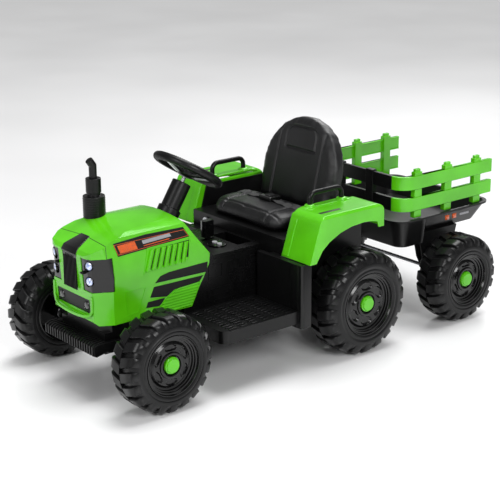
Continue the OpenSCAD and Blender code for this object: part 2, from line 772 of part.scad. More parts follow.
module gear_lever() color([0.04, 0.04, 0.045]) on_tractor() translate([lever_x, lever_y, lever_z]) {
    rotate([90, 0, 0]) cylinder(r = 3, h = 28, center = true);
    rotate([90, 0, 0]) cylinder(r = 7, h = 16, center = true);
    translate([-5, -5, 0]) cube([10, 10, 28]);
    difference() {
        translate([0, 0, 24]) cylinder(r = 17, h = 44);
        block([-20, 9, 20], [20, 20, 70]);
        block([-20, -20, 20], [20, -9, 70]);
    }
}

module pedal() color([0.1, 0.1, 0.1]) on_tractor() translate([pedal_x, pedal_y, pedal_z]) {
    rotate([90, 0, 0]) cylinder(r = pedal_pin_r, h = pedal_w + 12, center = true);
    rotate([0, -14, 0]) difference() {
        union() {
            translate([0, -pedal_w / 2, -3]) cube([82, pedal_w, 7]);
            rotate([90, 0, 0]) cylinder(r = 5, h = pedal_w, center = true);
        }
        for (i = [0 : 5]) translate([16 + 11 * i, -pedal_w / 2 + 6, 2.5]) cube([5, pedal_w - 12, 3]);
    }
}

// ---- fenders ----

function fender_outline() = concat(
    [[body_front + 6, fender_bottom], [-449, fender_top - 24]],
    arc(-476, fender_top - 26, 26, 15, 90, 5),
    [[-640, fender_top]],
    arc(fender_rear + 22, fender_top - 22, 22, 80, 180, 5),
    [[fender_rear, 343], [fender_rear + 19, 343]],
    [[fender_rear + 24, 359], [-628, 364], [-604, 366], [-560, 363], [-520, 353], [-484, 336], [-460, 317],
     [-440, fender_bottom]]);

module fender_left() color([0.32, 0.82, 0.05]) on_tractor() difference() {
    side_profile(fender_outline(), fender_in, fender_out);
    // hollow under the skin, open towards the wheel
    side_profile(concat([[-436, fender_bottom - 5], [-424, fender_bottom - 5], [-453, fender_top - 28]],
        [[-476, fender_top - fender_wall], [-648, fender_top - fender_wall],
         [fender_rear + 10, fender_top - 12], [fender_rear + 4, fender_top - 26],
         [fender_rear + 4, 330], [fender_rear + 15, 330]],
        [[fender_rear + 24, 350], [-604, 356], [-484, 326]]),
        fender_in + fender_wall, fender_out - fender_wall);
    // slope along the inner top edge
    translate([-800, fender_in, fender_top - 11]) rotate([45, 0, 0]) cube([400, 30, 30]);
    // rounded look of the outer top edge
    translate([-800, fender_out - 7, fender_top + 1]) rotate([-45, 0, 0]) cube([400, 30, 30]);
}

module fender_right() mirror([0, 1, 0]) fender_left();

module handle_left() color([0.06, 0.06, 0.06]) on_tractor() translate([0, handle_y, fender_top + touch]) {
    r = handle_d / 2;
    bend = 18;
    top = handle_h - r;
    for (x = [handle_front, handle_back]) {
        translate([x, 0, 0]) cylinder(r = r + 3, h = 4);
        translate([x, 0, 0]) cylinder(r = r, h = top - bend);
    }
    translate([handle_front - bend, 0, top - bend]) rotate([90, 0, 0])
        rotate_extrude(angle = 90) translate([bend, 0]) circle(r = r);
    translate([handle_back + bend, 0, top - bend]) rotate([90, 0, 0]) rotate([0, 0, 90])
        rotate_extrude(angle = 90) translate([bend, 0]) circle(r = r);
    translate([handle_back + bend, 0, top]) rotate([0, 90, 0])
        cylinder(r = r, h = handle_front - handle_back - 2 * bend);
}

module handle_right() mirror([0, 1, 0]) handle_left();

// ---- seat ----

module seat_cushion() color([0.08, 0.08, 0.085]) on_tractor() {
    half = seat_w / 2;
    hull() {
        for (y = [-half + 50, half - 50]) translate([seat_front - 50, y, body_top + touch])
            cylinder(r = 50, h = cushion_t - 17, $fn = skin_fn);
        for (y = [-half + 50, half - 50]) translate([seat_front - 58, y, body_top + cushion_t - 20])
            cylinder(r = 44, h = 20, $fn = skin_fn);
        for (y = [-half + 20, half - 20]) translate([seat_rear + 25, y, body_top + touch])
            cylinder(r = 20, h = cushion_t - 8, $fn = skin_fn);
    }
}

// half the seat back's outline: width at each height up the back
function back_side(k) = [for (p = [[0, 146], [60, 155], [105, 158], [142, 153], [172, 143],
    [203, 125], [229, 99], [250, 62], [262, 20]]) [k * p[1], p[0] * back_h / 264]];

module seat_back() color([0.07, 0.07, 0.075]) on_tractor()
    translate([seat_rear - 2, 0, body_top + 2]) rotate([0, -back_lean, 0])
        translate([-back_t, 0, 9]) rotate([90, 0, 90]) linear_extrude(back_t)
            polygon(concat(back_side(1), [for (i = [8 : -1 : 0]) back_side(-1)[i]]));

belt_x = -540;
belt_z = body_top + cushion_t + touch + 1;

module seat_belt() color([0.05, 0.05, 0.05]) on_tractor() both_sides()
    block([belt_x - 13, 26, belt_z], [belt_x + 13, seat_w / 2 - 20, belt_z + 2]);

module belt_buckle() color([0.05, 0.05, 0.05]) on_tractor() {
    block([belt_x - 21, -25, belt_z], [belt_x + 21, 25, belt_z + 11]);
    block([belt_x - 10, -12, belt_z + 11], [belt_x + 10, 12, belt_z + 13]);
}

// ---- trailer ----

module tray_slab(front, rear, half, corner, z0, h)
    for (x = [front - corner, rear + corner]) for (y = [-half + corner, half - corner])
        translate([x, y, z0]) cylinder(r = corner, h = h, $fn = skin_fn);

bracket_y = 158;
bracket_w = 26;

module trailer_tray() color([0.07, 0.07, 0.075]) on_trailer() difference() {
    union() {
        hull() {
            tray_slab(tray_front, tray_rear, tray_w / 2, 40, tray_top - 2, 2);
            tray_slab(tray_front - tray_slope, tray_rear + tray_slope, tray_w / 2 - tray_slope, 30,
                tray_floor, 2);
        }
        hull() tray_slab(tray_front + 6, tray_rear - 6, tray_w / 2 + 4, 44, tray_top - 5, 5);
        hull() {
            tray_slab(tray_front, well_rear, tray_w / 2, 40, tray_top - 8, 2);
            tray_slab(tray_front - 18, well_rear + 4, tray_w / 2 - 12, 30, well_floor, 2);
        }
        // brackets down to the axle
        both_sides() side_profile([[-77, tray_floor + 2], [-58, 168], [-26, trailer_tyre_r - 14],
            [26, trailer_tyre_r - 14], [58, 168], [77, tray_floor + 2]], bracket_y, bracket_y + bracket_w);
    }
    hull() {
        tray_slab(tray_front - tray_wall, tray_rear + tray_wall, tray_w / 2 - tray_wall, 37, tray_top + 1, 2);
        tray_slab(tray_front - tray_slope - tray_wall, tray_rear + tray_slope + tray_wall,
            tray_w / 2 - tray_slope - tray_wall, 27, tray_floor + tray_wall, 2);
    }
    hull() {
        tray_slab(tray_front - 6, well_rear + 4, tray_w / 2 - 6, 36, tray_top - 20, 2);
        tray_slab(tray_front - 22, well_rear + 8, tray_w / 2 - 16, 26, well_floor + tray_wall, 2);
    }
    cross_rod(0, trailer_tyre_r, -200, 200, axle_r + run_gap);
    both_sides() block([-90, bracket_y + wall, 90], [90, bracket_y + bracket_w - wall, well_floor - 6]);
}

rail_base = tray_top + touch;
low_board_z = tray_top + 21;
top_board_z = tray_top + 82;

module rail_board(z) {
    bend_x = rail_front - rail_bend_r;
    outer = rail_y + rail_t;
    block([rail_rear, rail_y, z], [bend_x, outer, z + board_h]);
    translate([bend_x, outer - rail_bend_r, z])
        rotate_extrude(angle = 90) translate([rail_bend_r - rail_t, 0]) square([rail_t, board_h]);
}

module rail_left() color([0.32, 0.82, 0.05]) on_trailer() {
    for (i = [0 : 2]) {
        x = first_post + i * post_pitch;
        block([x - post_l / 2, rail_y - 8, rail_base], [x + post_l / 2, rail_y + post_t - 8, tray_top + rail_h - 8]);
        block([x - post_l / 2 + 4, rail_y - 5, tray_top + rail_h - 9],
            [x + post_l / 2 - 4, rail_y + post_t - 11, tray_top + rail_h]);
    }
    rail_board(low_board_z);
    rail_board(top_board_z);
}

module rail_right() mirror([0, 1, 0]) rail_left();

module front_rail() color([0.07, 0.07, 0.075]) on_trailer() {
    half = rail_y + rail_t - rail_bend_r - touch;
    x1 = rail_front;
    for (z = [low_board_z, top_board_z]) block([x1 - rail_t, -half, z], [x1, half, z + board_h]);
    for (y = [-62, 62]) {
        block([x1 - post_t + 2, y - post_l / 2, rail_base], [x1 + 2, y + post_l / 2, tray_top + rail_h - 14]);
    }
}

module drawbar() color([0.1, 0.1, 0.105]) on_tractor() difference() {
    bar_run = trailer_gap - 176;
    union() {
        side_profile([[hitch_x, hitch_z], [hitch_x, hitch_z + eye_t], [hitch_x - 62, hitch_z + eye_t],
            [hitch_x - 104, well_floor - touch], [hitch_x - bar_run, well_floor - touch],
            [hitch_x - bar_run, well_floor - 12], [hitch_x - 98, well_floor - 12],
            [hitch_x - 56, hitch_z]], -12, 12);
        translate([hitch_x, 0, hitch_z]) cylinder(r = eye_r, h = eye_t);
    }
    translate([hitch_x, 0, 0]) cylinder(r = pin_r + run_gap, h = 300);
}

chassis_pan();
rear_body();
battery();
control_box();
gearboxes();
drive_motors();
rear_axle();
front_axle_beam();
front_bumper();
hood_shell();
grille();
headlamp_housings();
headlamp_lenses();
fog_panel();
hood_trim();
dash_panel();
steering_column();
muffler();
exhaust_pipe();
console_box();
control_panel();
seat_cushion();
seat_back();
seat_belt();
belt_buckle();
fender_left();
fender_right();
handle_left();
handle_right();
charge_socket();
hitch_bracket();
steering_shaft();
steering_wheel();
horn_button();
tie_rod();
knuckle_left();
knuckle_right();
wheel_front_left();
wheel_front_right();
wheel_rear_left();
wheel_rear_right();
wheel_trailer_left();
wheel_trailer_right();
cap_front_left();
cap_front_right();
cap_rear_left();
cap_rear_right();
cap_trailer_left();
cap_trailer_right();
trailer_tray();
front_rail();
rail_left();
rail_right();
drawbar();
trailer_axle();
hitch_pin();
pedal();
gear_lever();
power_button();
sound_button();
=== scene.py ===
"""A child's ride-on tractor with its trailer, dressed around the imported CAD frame."""

import json
import math

import bmesh
import bpy
from mathutils import Matrix, Vector

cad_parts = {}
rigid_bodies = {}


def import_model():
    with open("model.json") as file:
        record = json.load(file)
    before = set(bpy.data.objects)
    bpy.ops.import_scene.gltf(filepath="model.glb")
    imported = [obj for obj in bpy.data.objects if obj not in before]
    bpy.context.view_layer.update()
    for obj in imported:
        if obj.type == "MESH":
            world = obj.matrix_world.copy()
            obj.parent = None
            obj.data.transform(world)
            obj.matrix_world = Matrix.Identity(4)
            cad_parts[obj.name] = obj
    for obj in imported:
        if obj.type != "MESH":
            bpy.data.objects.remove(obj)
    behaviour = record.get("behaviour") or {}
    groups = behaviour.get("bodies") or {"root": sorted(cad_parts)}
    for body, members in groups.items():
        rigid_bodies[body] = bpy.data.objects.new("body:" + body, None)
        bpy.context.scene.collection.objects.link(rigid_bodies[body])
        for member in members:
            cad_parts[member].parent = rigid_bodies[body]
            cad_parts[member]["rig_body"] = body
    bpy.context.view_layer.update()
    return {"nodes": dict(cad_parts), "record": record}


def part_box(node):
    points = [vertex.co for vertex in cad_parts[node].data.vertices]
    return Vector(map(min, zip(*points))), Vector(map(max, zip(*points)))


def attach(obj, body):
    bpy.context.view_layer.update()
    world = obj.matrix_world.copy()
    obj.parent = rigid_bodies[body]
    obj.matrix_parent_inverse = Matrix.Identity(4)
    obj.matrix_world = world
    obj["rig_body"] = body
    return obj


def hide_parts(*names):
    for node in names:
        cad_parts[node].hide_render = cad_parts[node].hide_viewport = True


bl_info = {
    "name": "Ride-on Tractor Looks",
    "version": (1, 0, 0),
    "blender": (4, 5, 0),
    "location": "View3D > Sidebar > Tractor",
    "description": "Builds the visible pieces of a child's ride-on tractor and trailer on its CAD frame",
    "category": "Object",
}

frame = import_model()
MM = 0.001


def middle(node):
    """The middle of a CAD node's box."""
    low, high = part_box(node)
    return (low + high) / 2


FRONT_AXLE_X = middle("wheel_front_left").x
TRAILER_AXLE_X = middle("wheel_trailer_left").x


# ---- shader maths ----

MIX_FACTOR, MIX_FIRST, MIX_SECOND, MIX_RESULT = 0, 6, 7, 2
HOOD_SEAM_X = FRONT_AXLE_X + 0.049
HOOD_SEAM_LEAN = 0.07
HOOD_SEAM_TOP = 0.352


class Value:
    """A shader socket that adds Math nodes when it is used in an expression."""

    def __init__(self, shader, socket):
        self.shader = shader
        self.socket = socket

    def math(self, operation, first, second=None):
        """The result of one Math node."""
        given = {0: first} if second is None else {0: first, 1: second}
        return self.shader.add("ShaderNodeMath", {"operation": operation}, given)

    def __add__(self, other):
        return self.math("ADD", self, other)

    def __radd__(self, other):
        return self.math("ADD", other, self)

    def __sub__(self, other):
        return self.math("SUBTRACT", self, other)

    def __rsub__(self, other):
        return self.math("SUBTRACT", other, self)

    def __mul__(self, other):
        return self.math("MULTIPLY", self, other)

    def __rmul__(self, other):
        return self.math("MULTIPLY", other, self)

    def absolute(self):
        return self.math("ABSOLUTE", self)

    def step(self, low, high):
        """0 below low and 1 above high, smooth between them."""
        return self.shader.add(
            "ShaderNodeMapRange",
            {"interpolation_type": "SMOOTHSTEP"},
            {"Value": self, "From Min": low, "From Max": high},
        )


class Shader:
    """A material's node tree, with one method that adds any node."""

    def __init__(self, name):
        self.material = bpy.data.materials.new(name)
        self.material.use_nodes = True
        self.tree = self.material.node_tree
        self.tree.nodes.clear()
        self.output = self.tree.nodes.new("ShaderNodeOutputMaterial")

    def add(self, kind, settings=None, inputs=None, output=0):
        """Adds a node; an input is a plain value or the result of another node."""
        node = self.tree.nodes.new(kind)
        for name, value in (settings or {}).items():
            setattr(node, name, value)
        for name, value in (inputs or {}).items():
            if isinstance(value, Value):
                self.tree.links.new(value.socket, node.inputs[name])
            else:
                node.inputs[name].default_value = value
        return Value(self, node.outputs[output])

    def place(self):
        """Object coordinates."""
        return self.add("ShaderNodeTexCoord", output="Object")

    def axis(self, name):
        """One of the object coordinates, by its letter."""
        return self.add("ShaderNodeSeparateXYZ", inputs={0: self.place()}, output=name)

    def noise(self, scale, detail=2.0, stretch=None, roughness=0.5):
        """Cloudy noise, stretched along the axes where stretch is given."""
        where = self.place()
        if stretch:
            where = self.add("ShaderNodeMapping", inputs={"Vector": where, "Scale": stretch})
        given = {"Vector": where, "Scale": scale, "Detail": detail, "Roughness": roughness}
        return self.add("ShaderNodeTexNoise", inputs=given)

    def cells(self, scale, feature="F1"):
        """The distance across a field of uneven cells."""
        given = {"Vector": self.place(), "Scale": scale}
        return self.add("ShaderNodeTexVoronoi", {"feature": feature}, given, output="Distance")

    def colours(self, factor, first, second):
        """A blend from the first colour to the second."""
        given = {MIX_FACTOR: factor, MIX_FIRST: colour_of(first), MIX_SECOND: colour_of(second)}
        return self.add("ShaderNodeMix", {"data_type": "RGBA"}, given, output=MIX_RESULT)

    def bump(self, height, strength, distance):
        """A surface normal tilted by a height."""
        given = {"Height": height, "Strength": strength, "Distance": distance}
        return self.add("ShaderNodeBump", inputs=given)

    def finish(self, **sockets):
        """Ends the tree with one surface shader; each word is a socket's name in small letters."""
        names = {name.replace("_", " ").title(): value for name, value in sockets.items()}
        names = {name.replace("Ior", "IOR"): value for name, value in names.items()}
        surface = self.add("ShaderNodeBsdfPrincipled", inputs=names)
        self.tree.links.new(surface.socket, self.output.inputs["Surface"])
        return self.material


def colour_of(value):
    """A colour as four numbers; anything else is returned unchanged."""
    return value if isinstance(value, Value) else (*tuple(value)[:3], 1.0)


def painted_plastic(name, colour, seam=False):
    """Glossy coloured plastic with a faint orange peel and, where seam is set, the joint across the hood."""
    s = Shader(name)
    fade = s.noise(9, 3).step(0.3, 0.75)
    bright = tuple(min(1, c * 1.12 + 0.004) for c in colour)
    dark = tuple(c * 0.9 for c in colour)
    base = s.colours(fade, dark, bright)
    height = s.noise(420, 2) * 0.5 + s.noise(60, 2) * 0.5
    rough = s.noise(35, 4) * 0.08 + 0.18
    strength, distance = 0.12, 0.0006
    if seam:
        away = (s.axis("X") - s.axis("Y").absolute() * HOOD_SEAM_LEAN - HOOD_SEAM_X).absolute()
        line = 1 - (1 - away.step(0.0004, 0.0011)) * s.axis("Z").step(HOOD_SEAM_TOP, HOOD_SEAM_TOP + 0.004)
        base = s.colours(line, (0.01, 0.05, 0.004), base)
        height = height * 0.15 + line
        strength, distance = 0.6, 0.0009
    normal = s.bump(height, strength, distance)
    return s.finish(base_color=base, roughness=rough, normal=normal, coat_weight=0.25, coat_roughness=0.08)


def moulded_plastic(name, tone, roughness, grain, strength, clear=0.0):
    """Plain moulded plastic: fine grain, faint flow marks, paler rubbed patches and a clear layer."""
    s = Shader(name)
    rub = s.noise(22, 5, roughness=0.65).step(0.5, 0.8)
    flow = s.noise(14, 3, stretch=(1, 1, 0.25))
    base = s.colours(rub * 0.6, (tone, tone, tone * 1.06), (tone * 2.0, tone * 2.0, tone * 2.1))
    height = s.noise(grain, 3) * 0.7 + s.noise(grain * 0.3, 2) * 0.3
    rough = flow * 0.14 + rub * 0.06 + (roughness - 0.09)
    return s.finish(
        base_color=base, roughness=rough, normal=s.bump(height, strength, 0.0005), coat_weight=clear,
        coat_roughness=0.15, specular_ior_level=0.28,
    )


def plated_steel(name):
    """Bright plating with drawn streaks and duller spots."""
    s = Shader(name)
    streak = s.noise(160, 3, stretch=(0.2, 1, 1))
    spots = s.noise(45, 4).step(0.45, 0.75)
    base = s.colours(spots, (0.42, 0.43, 0.45), (0.6, 0.61, 0.63))
    return s.finish(
        base_color=base, metallic=1.0, roughness=streak * 0.18 + 0.2, normal=s.bump(streak, 0.15, 0.0003)
    )


def seat_leather(name):
    """Soft black leather cloth with a pebbled grain and a duller sheen where it is sat on."""
    s = Shader(name)
    pebble = s.cells(620, "DISTANCE_TO_EDGE").step(0.0, 0.22)
    wrinkle = s.noise(70, 4, roughness=0.6)
    worn = s.noise(12, 4).step(0.35, 0.8)
    base = s.colours(worn, (0.004, 0.004, 0.0045), (0.008, 0.008, 0.009))
    height = pebble * 0.5 + wrinkle * 0.7
    return s.finish(
        base_color=base, roughness=worn * 0.1 + pebble * 0.05 + 0.3, normal=s.bump(height, 0.3, 0.0009)
    )


def strap_weave(name):
    """Close ribbed webbing."""
    s = Shader(name)
    ribs = s.add("ShaderNodeMath", {"operation": "SINE"}, {0: s.axis("X") * 3600})
    cross = s.add("ShaderNodeMath", {"operation": "SINE"}, {0: s.axis("Y") * 2600})
    weave = ribs * cross * 0.5 + 0.5
    base = s.colours(weave, (0.008, 0.008, 0.0085), (0.022, 0.022, 0.023))
    return s.finish(base_color=base, roughness=weave * 0.1 + 0.62, normal=s.bump(weave, 0.5, 0.0006))


def lamp_lens(name):
    """Pale blue lamp plastic: the pale and dark facet colours are painted reflection of a faceted mirror, and
    the faint emission is painted glow.
    """
    s = Shader(name)
    # The facet colours below are painted reflection, and the emission is painted glow.
    facets = s.cells(240).step(0.0, 0.9)
    base = s.colours(facets, (0.86, 0.9, 1.0), (0.22, 0.3, 0.62))
    return s.finish(
        base_color=base, metallic=0.35, roughness=facets * 0.1 + 0.06, normal=s.bump(facets, 0.5, 0.001),
        coat_weight=1.0, coat_roughness=0.03, emission_color=base, emission_strength=0.12,
    )


def reflector(name, colour):
    """Coloured reflector plastic with a fine pattern of cells."""
    s = Shader(name)
    cells = s.cells(420)
    base = s.colours(cells.step(0.1, 0.7), colour, tuple(c * 0.6 for c in colour))
    normal = s.bump(cells, 0.3, 0.0005)
    return s.finish(base_color=base, roughness=cells * 0.2 + 0.2, normal=normal, coat_weight=0.6)


def studio_floor(name):
    """A pale, faintly uneven floor with a clear gloss."""
    s = Shader(name)
    tone = s.noise(1.5, 2).step(0.2, 0.9)
    base = s.colours(tone, (0.9, 0.9, 0.905), (0.93, 0.93, 0.935))
    rough = tone * 0.1 + 0.3
    return s.finish(
        base_color=base, roughness=rough, specular_ior_level=0.5, coat_weight=0.8, coat_roughness=0.03
    )


FINISH = {}


def make_finishes():
    """All materials, by the name of the finish."""
    green = tuple(bpy.context.scene.tractor_body.body_colour)
    FINISH.update(
        green=painted_plastic("green_body_plastic", green),
        hood_green=painted_plastic("green_hood_plastic", green, seam=True),
        black=moulded_plastic("black_body_plastic", 0.0035, 0.34, 700, 0.2),
        console=moulded_plastic("black_console_plastic", 0.003, 0.3, 500, 0.16),
        gloss_black=moulded_plastic("gloss_black_plastic", 0.0025, 0.17, 300, 0.05, clear=0.5),
        band_black=moulded_plastic("black_band_film", 0.006, 0.45, 800, 0.12),
        tyre=moulded_plastic("tyre_plastic", 0.005, 0.33, 520, 0.22),
        rim=moulded_plastic("rim_plastic", 0.0035, 0.22, 300, 0.1, clear=0.3),
        grip=moulded_plastic("grip_plastic", 0.005, 0.36, 900, 0.3),
        steel=plated_steel("plated_steel"),
        painted_steel=moulded_plastic("black_painted_steel", 0.006, 0.3, 200, 0.1, clear=0.2),
        leather=seat_leather("seat_leather"),
        thread=moulded_plastic("seat_thread", 0.02, 0.6, 900, 0.4),
        webbing=strap_weave("belt_webbing"),
        lens=lamp_lens("lamp_lens"),
        dark_lens=moulded_plastic("dark_lamp_lens", 0.02, 0.16, 240, 0.5, clear=1.0),
        orange=reflector("orange_reflector", (0.85, 0.12, 0.01)),
        grey=moulded_plastic("grey_mark_film", 0.3, 0.45, 500, 0.1),
        silver=moulded_plastic("silver_button_plastic", 0.38, 0.24, 300, 0.1, clear=0.4),
        inner=moulded_plastic("inner_plastic", 0.05, 0.5, 400, 0.2),
        motor=plated_steel("motor_can"),
        floor=studio_floor("studio_floor"),
    )


# ---- geometry node trees ----


class Tree:
    """A geometry node tree with named inputs, built with one method that adds any node."""

    def __init__(self, name, **inputs):
        self.tree = bpy.data.node_groups.new(name, "GeometryNodeTree")
        face = self.tree.interface
        face.new_socket("Geometry", in_out="INPUT", socket_type="NodeSocketGeometry")
        self.ids = {}
        for label, kind in inputs.items():
            socket = face.new_socket(label, in_out="INPUT", socket_type=kind)
            self.ids[label] = socket.identifier
        face.new_socket("Geometry", in_out="OUTPUT", socket_type="NodeSocketGeometry")
        self.start = self.tree.nodes.new("NodeGroupInput")
        self.end = self.tree.nodes.new("NodeGroupOutput")

    def given(self, label="Geometry"):
        """One of the tree's own inputs."""
        return self.start.outputs[label]

    def add(self, kind, settings=None, inputs=None, output=0):
        """Adds a node; an input is a plain value or another node's socket."""
        node = self.tree.nodes.new(kind)
        for name, value in (settings or {}).items():
            setattr(node, name, value)
        for name, value in (inputs or {}).items():
            if isinstance(value, bpy.types.NodeSocket):
                self.tree.links.new(value, node.inputs[name])
            else:
                node.inputs[name].default_value = value
        return node.outputs[output]

    def close(self, geometry):
        """Makes the copies real, gives them the material and ends the tree."""
        realised = self.add("GeometryNodeRealizeInstances", inputs={0: geometry})
        given = {0: realised, "Material": self.given("Material")}
        painted = self.add("GeometryNodeSetMaterial", inputs=given)
        self.tree.links.new(painted, self.end.inputs[0])
        return self


TREES = {}


def ring_tree():
    """Copies of the piece round its own Z axis, then turned and put in place."""
    t = Tree(
        "ring_of_copies", Count="NodeSocketInt", Offset="NodeSocketFloat", Turn="NodeSocketVector",
        Place="NodeSocketVector", Material="NodeSocketMaterial",
    )
    points = t.add("GeometryNodeMeshLine", inputs={"Count": t.given("Count"), "Offset": (0, 0, 0)})
    index = t.add("GeometryNodeInputIndex")
    step = t.add("ShaderNodeMath", {"operation": "DIVIDE"}, {0: 2 * math.pi, 1: t.given("Count")})
    angle = t.add("ShaderNodeMath", {"operation": "MULTIPLY_ADD"}, {0: index, 1: step, 2: t.given("Offset")})
    turn = t.add("ShaderNodeCombineXYZ", inputs={"Z": angle})
    copies = t.add(
        "GeometryNodeInstanceOnPoints", inputs={"Points": points, "Instance": t.given(), "Rotation": turn}
    )
    placed = t.add(
        "GeometryNodeTransform",
        inputs={0: copies, "Rotation": t.given("Turn"), "Translation": t.given("Place")},
    )
    return t.close(placed)


def row_tree():
    """Copies of the piece along a straight line."""
    t = Tree("row_of_copies", Count="NodeSocketInt", Step="NodeSocketVector", Material="NodeSocketMaterial")
    points = t.add("GeometryNodeMeshLine", inputs={"Count": t.given("Count"), "Offset": t.given("Step")})
    copies = t.add("GeometryNodeInstanceOnPoints", inputs={"Points": points, "Instance": t.given()})
    return t.close(copies)


def stitch_tree():
    """Stitches along the edges of a line, lying along it."""
    t = Tree(
        "stitches_on_line", Pitch="NodeSocketFloat", Radius="NodeSocketFloat", Length="NodeSocketFloat",
        Material="NodeSocketMaterial",
    )
    line = t.add("GeometryNodeMeshToCurve", inputs={0: t.given()})
    spaced = t.add("GeometryNodeResampleCurve", {"mode": "LENGTH"}, {0: line, "Length": t.given("Pitch")})
    tangent = t.add("GeometryNodeInputTangent")
    turned = t.add("FunctionNodeAlignRotationToVector", {"axis": "Z"}, {"Vector": tangent})
    shape = {"Vertices": 6, "Radius": t.given("Radius"), "Depth": t.given("Length")}
    thread = t.add("GeometryNodeMeshCylinder", inputs=shape)
    copies = t.add(
        "GeometryNodeInstanceOnPoints", inputs={"Points": spaced, "Instance": thread, "Rotation": turned}
    )
    return t.close(copies)


def make_trees():
    """All geometry node trees, by the way they set out copies."""
    TREES.update(ring=ring_tree(), row=row_tree(), stitch=stitch_tree())


def grow(piece, kind, material, **values):
    """Runs a geometry node tree on a piece and keeps the result as its plain mesh."""
    tree = TREES[kind]
    modifier = piece.modifiers.new(kind, "NODES")
    modifier.node_group = tree.tree
    for label, value in values.items():
        modifier[tree.ids[label]] = value
    modifier[tree.ids["Material"]] = material
    return bake(piece)


# ---- mesh helpers ----


def bake(piece):
    """Applies a piece's modifiers and keeps the result as its plain mesh."""
    bpy.context.view_layer.update()
    graph = bpy.context.evaluated_depsgraph_get()
    mesh = bpy.data.meshes.new_from_object(piece.evaluated_get(graph))
    piece.modifiers.clear()
    piece.data = mesh
    mesh.name = piece.name
    return piece


def linked(name, mesh):
    """A new piece, shaded smooth, from a mesh."""
    mesh.update()
    mesh.polygons.foreach_set("use_smooth", [True] * len(mesh.polygons))
    piece = bpy.data.objects.new(name, mesh)
    bpy.context.scene.collection.objects.link(piece)
    return piece


def piece_from(name, points, faces, edges=()):
    """A piece from points and the faces or edges between them."""
    mesh = bpy.data.meshes.new(name)
    mesh.from_pydata([tuple(p) for p in points], edges, faces)
    return linked(name, mesh)


def piece_from_bmesh(name, shape):
    """A piece from an edited mesh, which is freed."""
    mesh = bpy.data.meshes.new(name)
    shape.to_mesh(mesh)
    shape.free()
    return linked(name, mesh)


def face_outwards(piece):
    """Merges points that meet and turns every face outwards."""
    shape = bmesh.new()
    shape.from_mesh(piece.data)
    bmesh.ops.remove_doubles(shape, verts=shape.verts, dist=1e-6)
    bmesh.ops.recalc_face_normals(shape, faces=shape.faces)
    shape.to_mesh(piece.data)
    shape.free()
    return piece


def shade(piece, angle=35):
    """Smooth shading with crisp edges above an angle."""
    piece.data.polygons.foreach_set("use_smooth", [True] * len(piece.data.polygons))
    piece.data.set_sharp_from_angle(angle=math.radians(angle))
    return piece


def rounded(piece, width, segments=2, angle=30):
    """Rounds a piece's edges and bakes the result."""
    bevel = piece.modifiers.new("edge", "BEVEL")
    bevel.width = width
    bevel.segments = segments
    bevel.limit_method = "ANGLE"
    bevel.angle_limit = math.radians(angle)
    bevel.use_clamp_overlap = True
    bevel.harden_normals = False
    bake(piece)
    return shade(piece, 50)


def coat(piece, finish):
    """Adds a finish to a piece."""
    piece.data.materials.append(FINISH[finish])
    return piece


def dress(piece, body, slot, *nodes, finish=None):
    """Gives a piece its body and, where named, finish, and hides the CAD nodes it stands for. The slot is not
    used.
    """
    if finish is not None:
        piece.data.materials.clear()
        coat(piece, finish)
    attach(piece, body)
    if nodes:
        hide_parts(*nodes)
    return piece


def copy_of(node, name):
    """A merged copy of a CAD node's mesh, with its flat faces joined."""
    shape = bmesh.new()
    shape.from_mesh(frame["nodes"][node].data)
    bmesh.ops.remove_doubles(shape, verts=shape.verts, dist=2e-5)
    bmesh.ops.dissolve_limit(
        shape, angle_limit=math.radians(1.0), verts=shape.verts, edges=shape.edges,
        use_dissolve_boundaries=False,
    )
    return piece_from_bmesh(name, shape)


def join_pieces(name, pieces):
    """One piece from several that share a body."""
    shape = bmesh.new()
    slots = []
    for piece in pieces:
        used = list(piece.data.materials)
        base = len(shape.faces)
        shape.from_mesh(piece.data)
        shape.faces.ensure_lookup_table()
        for face in shape.faces[base:]:
            material = used[face.material_index] if used else None
            if material not in slots:
                slots.append(material)
            face.material_index = slots.index(material)
        bpy.data.objects.remove(piece)
    whole = piece_from_bmesh(name, shape)
    for material in slots:
        whole.data.materials.append(material)
    return whole


def loft(name, rings, ends="capped"):
    """A skin through rings of as many points each; its ends are capped, open, or joined to each other."""
    points = [point for ring in rings for point in ring]
    total = len(points)
    count = len(rings[0])
    faces = [range(count), range(total - count, total)] if ends == "capped" else []
    for start in range(0, total if ends == "joined" else total - count, count):
        after = (start + count) % total
        for k in range(count):
            m = (k + 1) % count
            faces.append((start + k, start + m, after + m, after + k))
    return face_outwards(piece_from(name, points, faces))


def prism(name, outline, low, high):
    """A closed upright body from an outline seen from above."""
    return loft(name, [[(x, y, z) for x, y in outline] for z in (low, high)])


def rectangle(low, high):
    """The corners of a rectangle between two of them."""
    return [(low[0], low[1]), (high[0], low[1]), (high[0], high[1]), (low[0], high[1])]


def brick(name, low, high, width=1.0, segments=2):
    """A box between two corners, its edges rounded by width millimetres."""
    return rounded(prism(name, rectangle(low, high), low[2], high[2]), width * MM, segments)


def rounded_outline(points, radius, count=5):
    """The outline with each corner turned into an arc."""
    done = []
    total = len(points)
    for i, here in enumerate(points):
        here = Vector(here)
        back = Vector(points[i - 1]) - here
        ahead = Vector(points[(i + 1) % total]) - here
        reach = min(radius, back.length * 0.45, ahead.length * 0.45)
        first = here + back.normalized() * reach
        last = here + ahead.normalized() * reach
        for k in range(count + 1):
            t = k / count
            done.append(tuple(first * (1 - t) ** 2 + here * 2 * t * (1 - t) + last * t * t))
    return done


def lathe(name, profile, count=96, bend=None):
    """Turns a closed profile of (radius, height) round Z. bend(radius, height, angle) may move each point."""
    rings = []
    for i in range(count):
        angle = 2 * math.pi * i / count
        line = [bend(radius, height, angle) for radius, height in profile] if bend else profile
        rings.append([(r * math.cos(angle), r * math.sin(angle), height) for r, height in line])
    return loft(name, rings, "joined")


